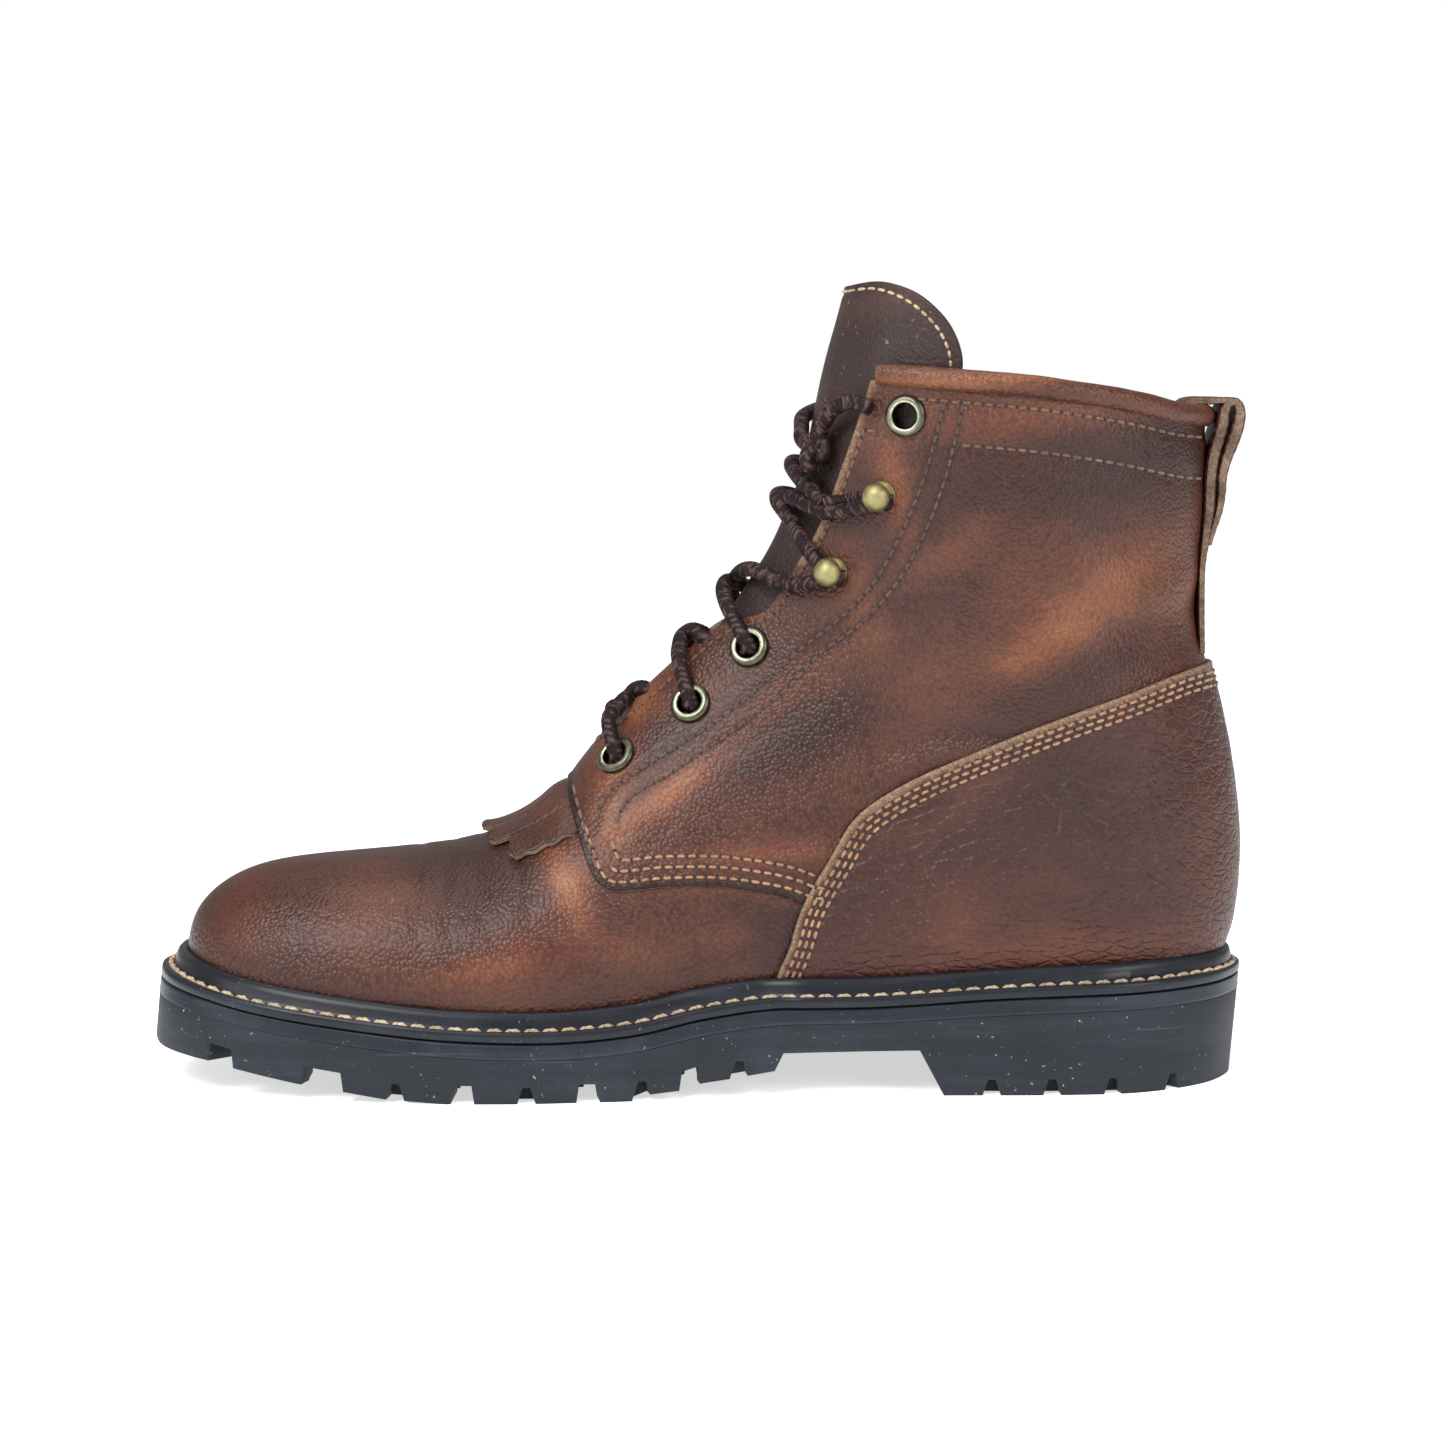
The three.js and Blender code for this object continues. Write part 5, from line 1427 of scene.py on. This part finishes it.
def build_welt(tree):
    x = SOLE_RING[:, 0]
    rim = rim_at(x)
    edge = ring_at(0, rim)
    foot, crest = (leather_inset(tree, edge, height) for height in (1.5, BEAD_HEIGHT))
    back = np.clip((-112 - x) / 22, 0, 1)
    bead = np.minimum(foot, crest) - BEAD_WIDTH + 1.9 * back
    groove = np.minimum(SEAM_INSET, bead - 1.0 + 0.2 * back)
    edge_in = np.minimum(0.0, groove - 1.6 + 0.5 * back)
    top = BEAD_HEIGHT
    profile = [
        (foot + 2.5, -WELT), (edge_in + 0.5, -WELT), (edge_in, -WELT + 0.4), (edge_in, -0.9),
        (edge_in + 0.25, -0.25), (edge_in + 0.7, 0.0), (groove - 0.8, 0.0), (groove - 0.45, -0.35),
        (groove + 0.45, -0.35), (groove + 0.8, 0.15), (bead + 0.1, 0.7), (bead + 0.35, 2.6),
        (bead + 0.8, 3.7), (bead + 1.6, top - 0.1), (bead + 2.5, top), (crest - 0.25, top - 0.5),
        (crest + 0.5, top - 1.6), (foot + 2.5, 1.0),
    ]
    points, faces = lofted([ring_at(inset, rim + up) for inset, up in profile], closed=True)
    hand_in(new_object("storm_welt", points, faces, ("welt",), sharp=60), "welt_rubber", "welt")
    return ring_at(groove, rim) - (0, 0, 0.1)


def build_insole():
    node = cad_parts["insole"]
    node.data.materials.clear()
    node.data.materials.append(MATERIALS["lining"])


# Stitches


def capsules(name, places, material, radius, squash=1.0, steps=5, around=6, lobes=0.0):
    """One mesh of stitches: each place is start, end and outward direction. Lobes twist the thread."""
    shape = []
    for t in np.linspace(-1, 1, steps):
        shape.append((0.56 * t, 0.35 + 0.65 * math.sqrt(max(1 - t**4, 0)), 0.35 - 0.9 * t * t))
    points = []
    faces = []
    for start, end, out in places:
        start, end, out = np.array(start), np.array(end), np.array(out)
        middle = (start + end) / 2
        along = end - start
        side = np.cross(along, out)
        side /= max(np.linalg.norm(side), 1e-9)
        faces += ring_faces(steps, around, first=len(points))
        for i, (share, fat, up) in enumerate(shape):
            centre = middle + along * share + out * radius * up
            for angle in 2 * math.pi * np.arange(around) / around:
                size = radius * fat * (1 + lobes * math.cos(2 * angle + 1.1 * i))
                points.append(centre + (side * math.cos(angle) + out * math.sin(angle) * squash) * size)
    return new_object(name, points, faces, (material,))


def stitch_row(line, tree, side, pitch=PITCH):
    """Stitches of a side-view row, set on the leather on the inner (+1) or outer (-1) side."""
    along = distances(line)

    def at(distance):
        x, z = (np.interp(distance, along, line[:, k]) for k in (0, 1))
        return tree.ray_cast(Vector((x, OUTSIDE * side, z)), Vector((0, -side, 0)), OUTSIDE + 10)

    places = []
    for k in range(int(along[-1] / pitch)):
        a, b = at(k * pitch), at((k + STITCH_SHARE) * pitch)
        if a[0] is None or b[0] is None or (a[0] - b[0]).length > 2 * pitch:
            continue
        places.append((a[0], b[0], a[1] if a[1].y * side > 0 else -a[1]))
    return places


def across(inner, outer, tree, way, pitch):
    """Stitches over the middle line, between two side rows' ends, on the front (+1) or back (-1)."""
    left = max((place[1] for place in outer), key=lambda p: p.y)
    right = min((place[1] for place in inner), key=lambda p: p.y)
    count = max(1, round((right.y - left.y - 0.6) / pitch))
    places = []
    for k in range(count):
        ends = []
        for share in (k + 0.25, k + 0.97):
            x, y, z = left.lerp(right, share / count)
            ends.append(tree.ray_cast(Vector((x + 40 * way, y, z)), Vector((-way, 0, 0)), 60))
        if ends[0][0] is not None and ends[1][0] is not None:
            out = ends[0][1]
            places.append((ends[0][0], ends[1][0], out if out.x * way > 0 else -out))
    return places


def build_stitches(tree, tongue_tree, welt_seam):
    rows = {"thread": [], "thread_mid": [], "thread_dark": [], "hole": []}
    for thread_name, line in SEAMS:
        found = [stitch_row(line, tree, side) for side in (1, -1)]
        if thread_name == "thread" and line[-1][0] < -135:
            found.append(across(*found, tree, -1, PITCH))
        for places in found:
            rows[thread_name] += places
            # Painted shade of the needle hole between each stitch and the next: a dark flat capsule
            for before, after in zip(places[:-1], places[1:]):
                if (after[0] - before[1]).length < PITCH:
                    rows["hole"].append((before[1], after[0], before[2]))
    for name, places in rows.items():
        radius, squash = (HOLE_SHADE_RADIUS, 0.4) if name == "hole" else (THREAD_RADIUS, 1.0)
        obj = capsules("stitches_" + name, places, name, radius, squash)
        hand_in(obj, "upper_leather", "upper")
    inner, outer = (stitch_row(TONGUE_SEAM, tongue_tree, side, TONGUE_PITCH) for side in (1, -1))
    places = inner + outer + across(inner, outer, tongue_tree, 1, TONGUE_PITCH)
    obj = capsules("stitches_thread_mid_tongue", places, "thread_cream", THREAD_RADIUS)
    hand_in(obj, "tongue_leather", "tongue")
    ring = catmull(welt_seam, closed=True, spacing=0.5)
    count = len(ring) // 10  # stitches of 5 mm
    places = []
    for k in range(count):
        start, end = (round((k + share) * len(ring) / count) % len(ring) for share in (0, 0.8))
        places.append((ring[start], ring[end], (0, 0, 1)))
    obj = capsules("stitches_welt", places, "thread_cream", WELT_THREAD_RADIUS, 0.8, 13, 10, 0.2)
    hand_in(obj, "welt_rubber", "welt")


# Eyelets and hooks


def seat_on(place, side, offset):
    u, v = find_on_side(place[0] * LENGTH, place[1] * HEIGHT, side)
    return form_point(u, v, offset), form_normal(np.asarray(u), np.asarray(v))


EYELET_PROFILE = [
    (3.3, -2.6), (3.3, 0.5), (3.45, 1.0), (3.8, 1.32), (4.4, 1.42), (5.0, 1.25), (5.5, 0.8), (5.7, 0.35),
    (5.65, 0.0), (3.85, -0.1), (3.85, -2.6),
]
EYELET_HOLE = 3.9  # radius of the hole in the leather
FITTING_AROUND = 40
EYELET_GAP = 0.25  # between a fitting and the leather
HOOK_GAP = 0.2
EYELET_TONES = [-0.3, -0.15, 0.1, 0.7, 0.5, 0.25, 0.25, 0.1, 0.0, 0.0, 0.0]
HOOK_BACK = 0.005  # the balls stand this share of the length behind the CAD's
HOOK_PROFILE = [
    (0.01, 0.0), (4.0, 0.0), (4.1, 0.5), (3.6, 0.95), (2.1, 1.5), (1.9, 2.2), (2.7, 2.7), (3.6, 3.3),
    (3.9, 4.1), (3.85, 4.9), (3.4, 5.9), (2.6, 6.8), (1.5, 7.4), (0.5, 7.6), (0.01, 7.62),
]


def turned_fitting(name, profile, place, side, lift, material, tones, closed=False):
    """A metal fitting: its profile of (radius, height) rows turned about the leather's normal."""
    foot, normal = seat_on(place, side, OVERLAY + lift)
    up = unit(normal)
    across_x = unit(np.cross((0, 0, 1), up))
    across_y = np.cross(up, across_x)
    angle = (np.arange(FITTING_AROUND) * 2 * np.pi / FITTING_AROUND)[:, None]
    rings = []
    for radius, height in profile:
        flat = radius * np.cos(angle) * across_x + radius * np.sin(angle) * across_y
        rings.append(foot + flat + height * up)
    points, faces = lofted(rings, closed)
    obj = new_object(name, points, faces, (material,))
    set_attribute(obj, "tone", np.repeat(tones, FITTING_AROUND))
    return obj


def build_fittings():
    # The hook's tone rises from its flange to the ball's outer tip: a painted highlight on the ball
    hook_highlight_ramp = np.linspace(0.1, 0.55, len(HOOK_PROFILE))
    for side, word in ((1, "inner"), (-1, "outer")):
        for i, place in enumerate(EYELETS):
            name = f"{word}_{i + 1}"
            obj = turned_fitting(
                "grommet_" + name, EYELET_PROFILE, place, side, EYELET_GAP, "brass", EYELET_TONES, True
            )
            hand_in(obj, "fittings", "eyelet_" + name)
        for i, (x, z) in enumerate(HOOKS):
            name = f"{word}_{i + 1}"
            place = (x - HOOK_BACK, z)
            obj = turned_fitting(
                "ball_hook_" + name, HOOK_PROFILE, place, side, HOOK_GAP, "ball", hook_highlight_ramp
            )
            hand_in(obj, "fittings", "hook_" + name)


# Laces


def braid_place(a):
    """The column of the braid at an angle, and the height of its chevron there."""
    column = 2 * a / np.pi
    return column, np.abs(2 * (column / 2 - np.floor(column / 2)) - 1)


def braid(s, a):
    """Height of the braid, 0 to 1: four columns of chevrons round the lace."""
    column, share = braid_place(a)
    phase = s / 1.45 + share
    return np.abs(np.cos(np.pi * phase)) ** 0.6 * (0.55 + 0.45 * np.abs(np.sin(np.pi * column)) ** 0.5)


def lace_piece(name, path, node, radius=LACE / 2):
    line = catmull(path, spacing=0.34)
    points, faces, s, a = tube(line, lambda s, a: radius * (0.95 + 0.13 * braid(s, a)), 22)
    obj = new_object(name, points, faces, ("lace",), sharp=80)
    # Painted shade: the lace is darker in the valleys of its braid
    set_attribute(obj, "braid_shade", braid(s, a))
    column, share = braid_place(a)
    turn = np.floor(s / 0.72 + 2 * share)
    chance = np.sin(turn * 12.9898 + np.floor(column * 2) * 78.233) * 43758.5
    fleck = chance - np.floor(chance) > 0.7
    set_attribute(obj, "fleck", fleck * braid(s, a) * 0.36)
    hand_in(obj, "lace_cord", node)
    return obj, line


# Where each row of lace goes over, from its fitting to the far facing's edge
LACE_ROWS = [
    (EYELETS[0], (0.044, 0.532)), (EYELETS[1], (-0.012, 0.605)), (EYELETS[2], (-0.088, 0.683)),
    (HOOKS[0], (-0.124, 0.785)),
]
KNOT_FOOT = (18.2, 0.095)
HIDDEN_END = (-0.075, 0.645)

# Lift of the first three rows along each strand, from its eyelet to the far facing
LOOP_LIFTS = [
    [(0.08, 4.2), (0.16, 6.2), (0.26, 6.6), (0.4, 3.6), (0.54, 2.2), (0.68, 1.8), (0.82, 2.2),
     (0.94, 1.4), (1.02, -0.6), (1.08, -2.6)],
    [(0.1, 3.8), (0.2, 5.2), (0.3, 5.2), (0.42, 3.4), (0.54, 2.4), (0.68, 2.2), (0.82, 2.4),
     (0.94, 1.4), (1.02, -0.6), (1.08, -2.6)],
    [(0.1, 3.4), (0.2, 4.2), (0.32, 3.2), (0.44, 1.6), (0.56, 1.2), (0.7, 1.6), (0.84, 2.8), (1.0, 3.2)],
]


def over_tongue(start, end, side, lifts):
    """Points of a strand between two side-view places on opposite sides, over the throat."""
    u0, v0 = find_on_side(start[0] * LENGTH, start[1] * HEIGHT, side)
    u1, v1 = find_on_side(end[0] * LENGTH, end[1] * HEIGHT, -side)
    points = []
    for t, lift in lifts:
        points.append(form_point(u0 + (u1 - u0) * t, v0 + (v1 - v0) * t, lift))
    return points


def build_laces():
    for i, (start, end) in enumerate(LACE_ROWS):
        for side, word in ((1, "inner"), (-1, "outer")):
            over = 1.6 if side > 0 else -0.4
            far = HIDDEN_END if i == 2 and side > 0 else end
            if i < 3:
                path = [seat_on(start, side, lift)[0] for lift in (-2.4, 0.6)]
                lifts = [(t, lift + over * math.exp(-((t - 0.5) / 0.2) ** 2)) for t, lift in LOOP_LIFTS[i]]
            else:
                path = []
                lifts = [
                    (0.0, 3.2), (0.12, 2.2), (0.28, 0.4), (0.42, over - 0.2), (0.55, over - 0.2),
                    (0.7, 0.6 + over / 2), (0.85, 2.2), (1.0, 3.2),
                ]
            path += over_tongue(start, far, side, lifts)
            if i >= 2:
                # round the stem of the far hook
                hook_x, hook_z = HOOKS[i - 2]
                foot, _ = seat_on((hook_x - HOOK_BACK, hook_z), -side, OVERLAY + 3.0)
                path += [foot + (1.6, 0, -2.4), foot + (-1.9, 0, -1.9), foot + (-2.2, 0, 0.8)]
            lace_piece(f"lace_{word}_{i + 1}", path, f"lace_crossing_{i + 1}")
    for side, word in ((1, "inner"), (-1, "outer")):
        u, v = find_on_side(HOOKS[1][0] * LENGTH, HOOKS[1][1] * HEIGHT, side)
        path = []
        for t, lift in ((0.06, 3.2), (0.25, 1.8), (0.45, 0.6), (0.65, 0.6), (0.85, 1.6), (1.0, 2.8)):
            path.append(form_point(u + (KNOT_FOOT[0] - u) * t, v + (KNOT_FOOT[1] - v) * t, lift))
        lace_piece(f"lace_top_{word}", path, "lace_crossing_5")


# The knot is drawn a little to the inner side of its solid's middle, as it hangs in the photograph
KNOT_SEEN = np.array(KNOT) + (-3.6, 4.4, -0.6)


def build_loose_lace():
    # The knot: a trefoil of the same lace round the place where both top strands meet
    turns = np.linspace(0, 2 * np.pi, 40, endpoint=False)
    x = np.sin(turns) + 2 * np.sin(2 * turns)
    y = np.cos(turns) - 2 * np.cos(2 * turns)
    flat = np.stack([x, y, -1.2 * np.sin(3 * turns)], axis=1) * 1.45
    tilt = np.array([[0.5, 0.0, 0.86], [0.0, 1.0, 0.0], [-0.86, 0.0, 0.5]])
    loops = flat @ tilt.T + KNOT_SEEN
    knot, _ = lace_piece("lace_tie", np.vstack([loops, loops[:1]]), "lace_knot", LACE / 2 * 0.92)
    for word, route, lead in (
        ("inner", LACE_END_INNER, [(1.2, -3.0, -3.4), (1.8, -2.6, 0.4)]),
        ("outer", LACE_END_OUTER, [(0.6, 1.2, -2.6), (1.5, -1.6, 1.4)]),
    ):
        whole = np.vstack([KNOT_SEEN + lead, route])
        tail, line = lace_piece("lace_tail_" + word, whole, "lace_end_" + word)


def make_stage():
    bpy.ops.mesh.primitive_plane_add(size=8, location=(0, 0, 0))
    floor = bpy.context.active_object
    floor.name = "floor"
    floor.data.materials.append(floor_material())
    world = bpy.data.worlds.new("studio")
    world.use_nodes = True
    tree = world.node_tree
    glow = tree.nodes["Background"]
    backdrop = tree.nodes.new("ShaderNodeBackground")
    for node, strength in ((glow, 0.36), (backdrop, 1.0)):
        node.inputs["Color"].default_value = (1, 1, 1, 1)
        node.inputs["Strength"].default_value = strength
    seen = tree.nodes.new("ShaderNodeLightPath").outputs["Is Camera Ray"]
    blend = tree.nodes.new("ShaderNodeMixShader")
    for source, socket in zip((seen, glow.outputs[0], backdrop.outputs[0]), blend.inputs):
        tree.links.new(source, socket)
    tree.links.new(blend.outputs[0], tree.nodes["World Output"].inputs["Surface"])
    bpy.context.scene.world = world
    bpy.context.scene.view_settings.view_transform = "Standard"
    for name, place, size, power in (
        ("key", (0.9, 1.4, 1.7), 1.1, 46),
        ("fill", (-1.2, 1.2, 0.9), 0.8, 14),
        ("top", (0.0, -0.2, 1.8), 1.2, 10),
        ("front", (1.7, 0.9, 0.7), 0.7, 6),
    ):
        data = bpy.data.lights.new(name, "AREA")
        data.energy = power
        data.size = size
        light = bpy.data.objects.new(name, data)
        light.location = place
        aim = Vector((0, 0, 0.1)) - Vector(place)
        light.rotation_euler = aim.to_track_quat("-Z", "Y").to_euler()
        bpy.context.scene.collection.objects.link(light)


build_loose_lace()
build_laces()
vamp = build_vamp()
quarters = build_quarters()
counter = build_counter()
tongue = build_tongue()
build_flap()
build_collar_roll()
build_pull_loop()
LEATHER_TREE = tree_of([vamp, quarters, counter])
WELT_SEAM = build_welt(LEATHER_TREE)
build_midsole()
build_outsole()
build_insole()
build_stitches(LEATHER_TREE, tree_of([tongue]), WELT_SEAM)
build_fittings()
make_stage()


def corners(box):
    return [list(box[0]), list(box[1])]
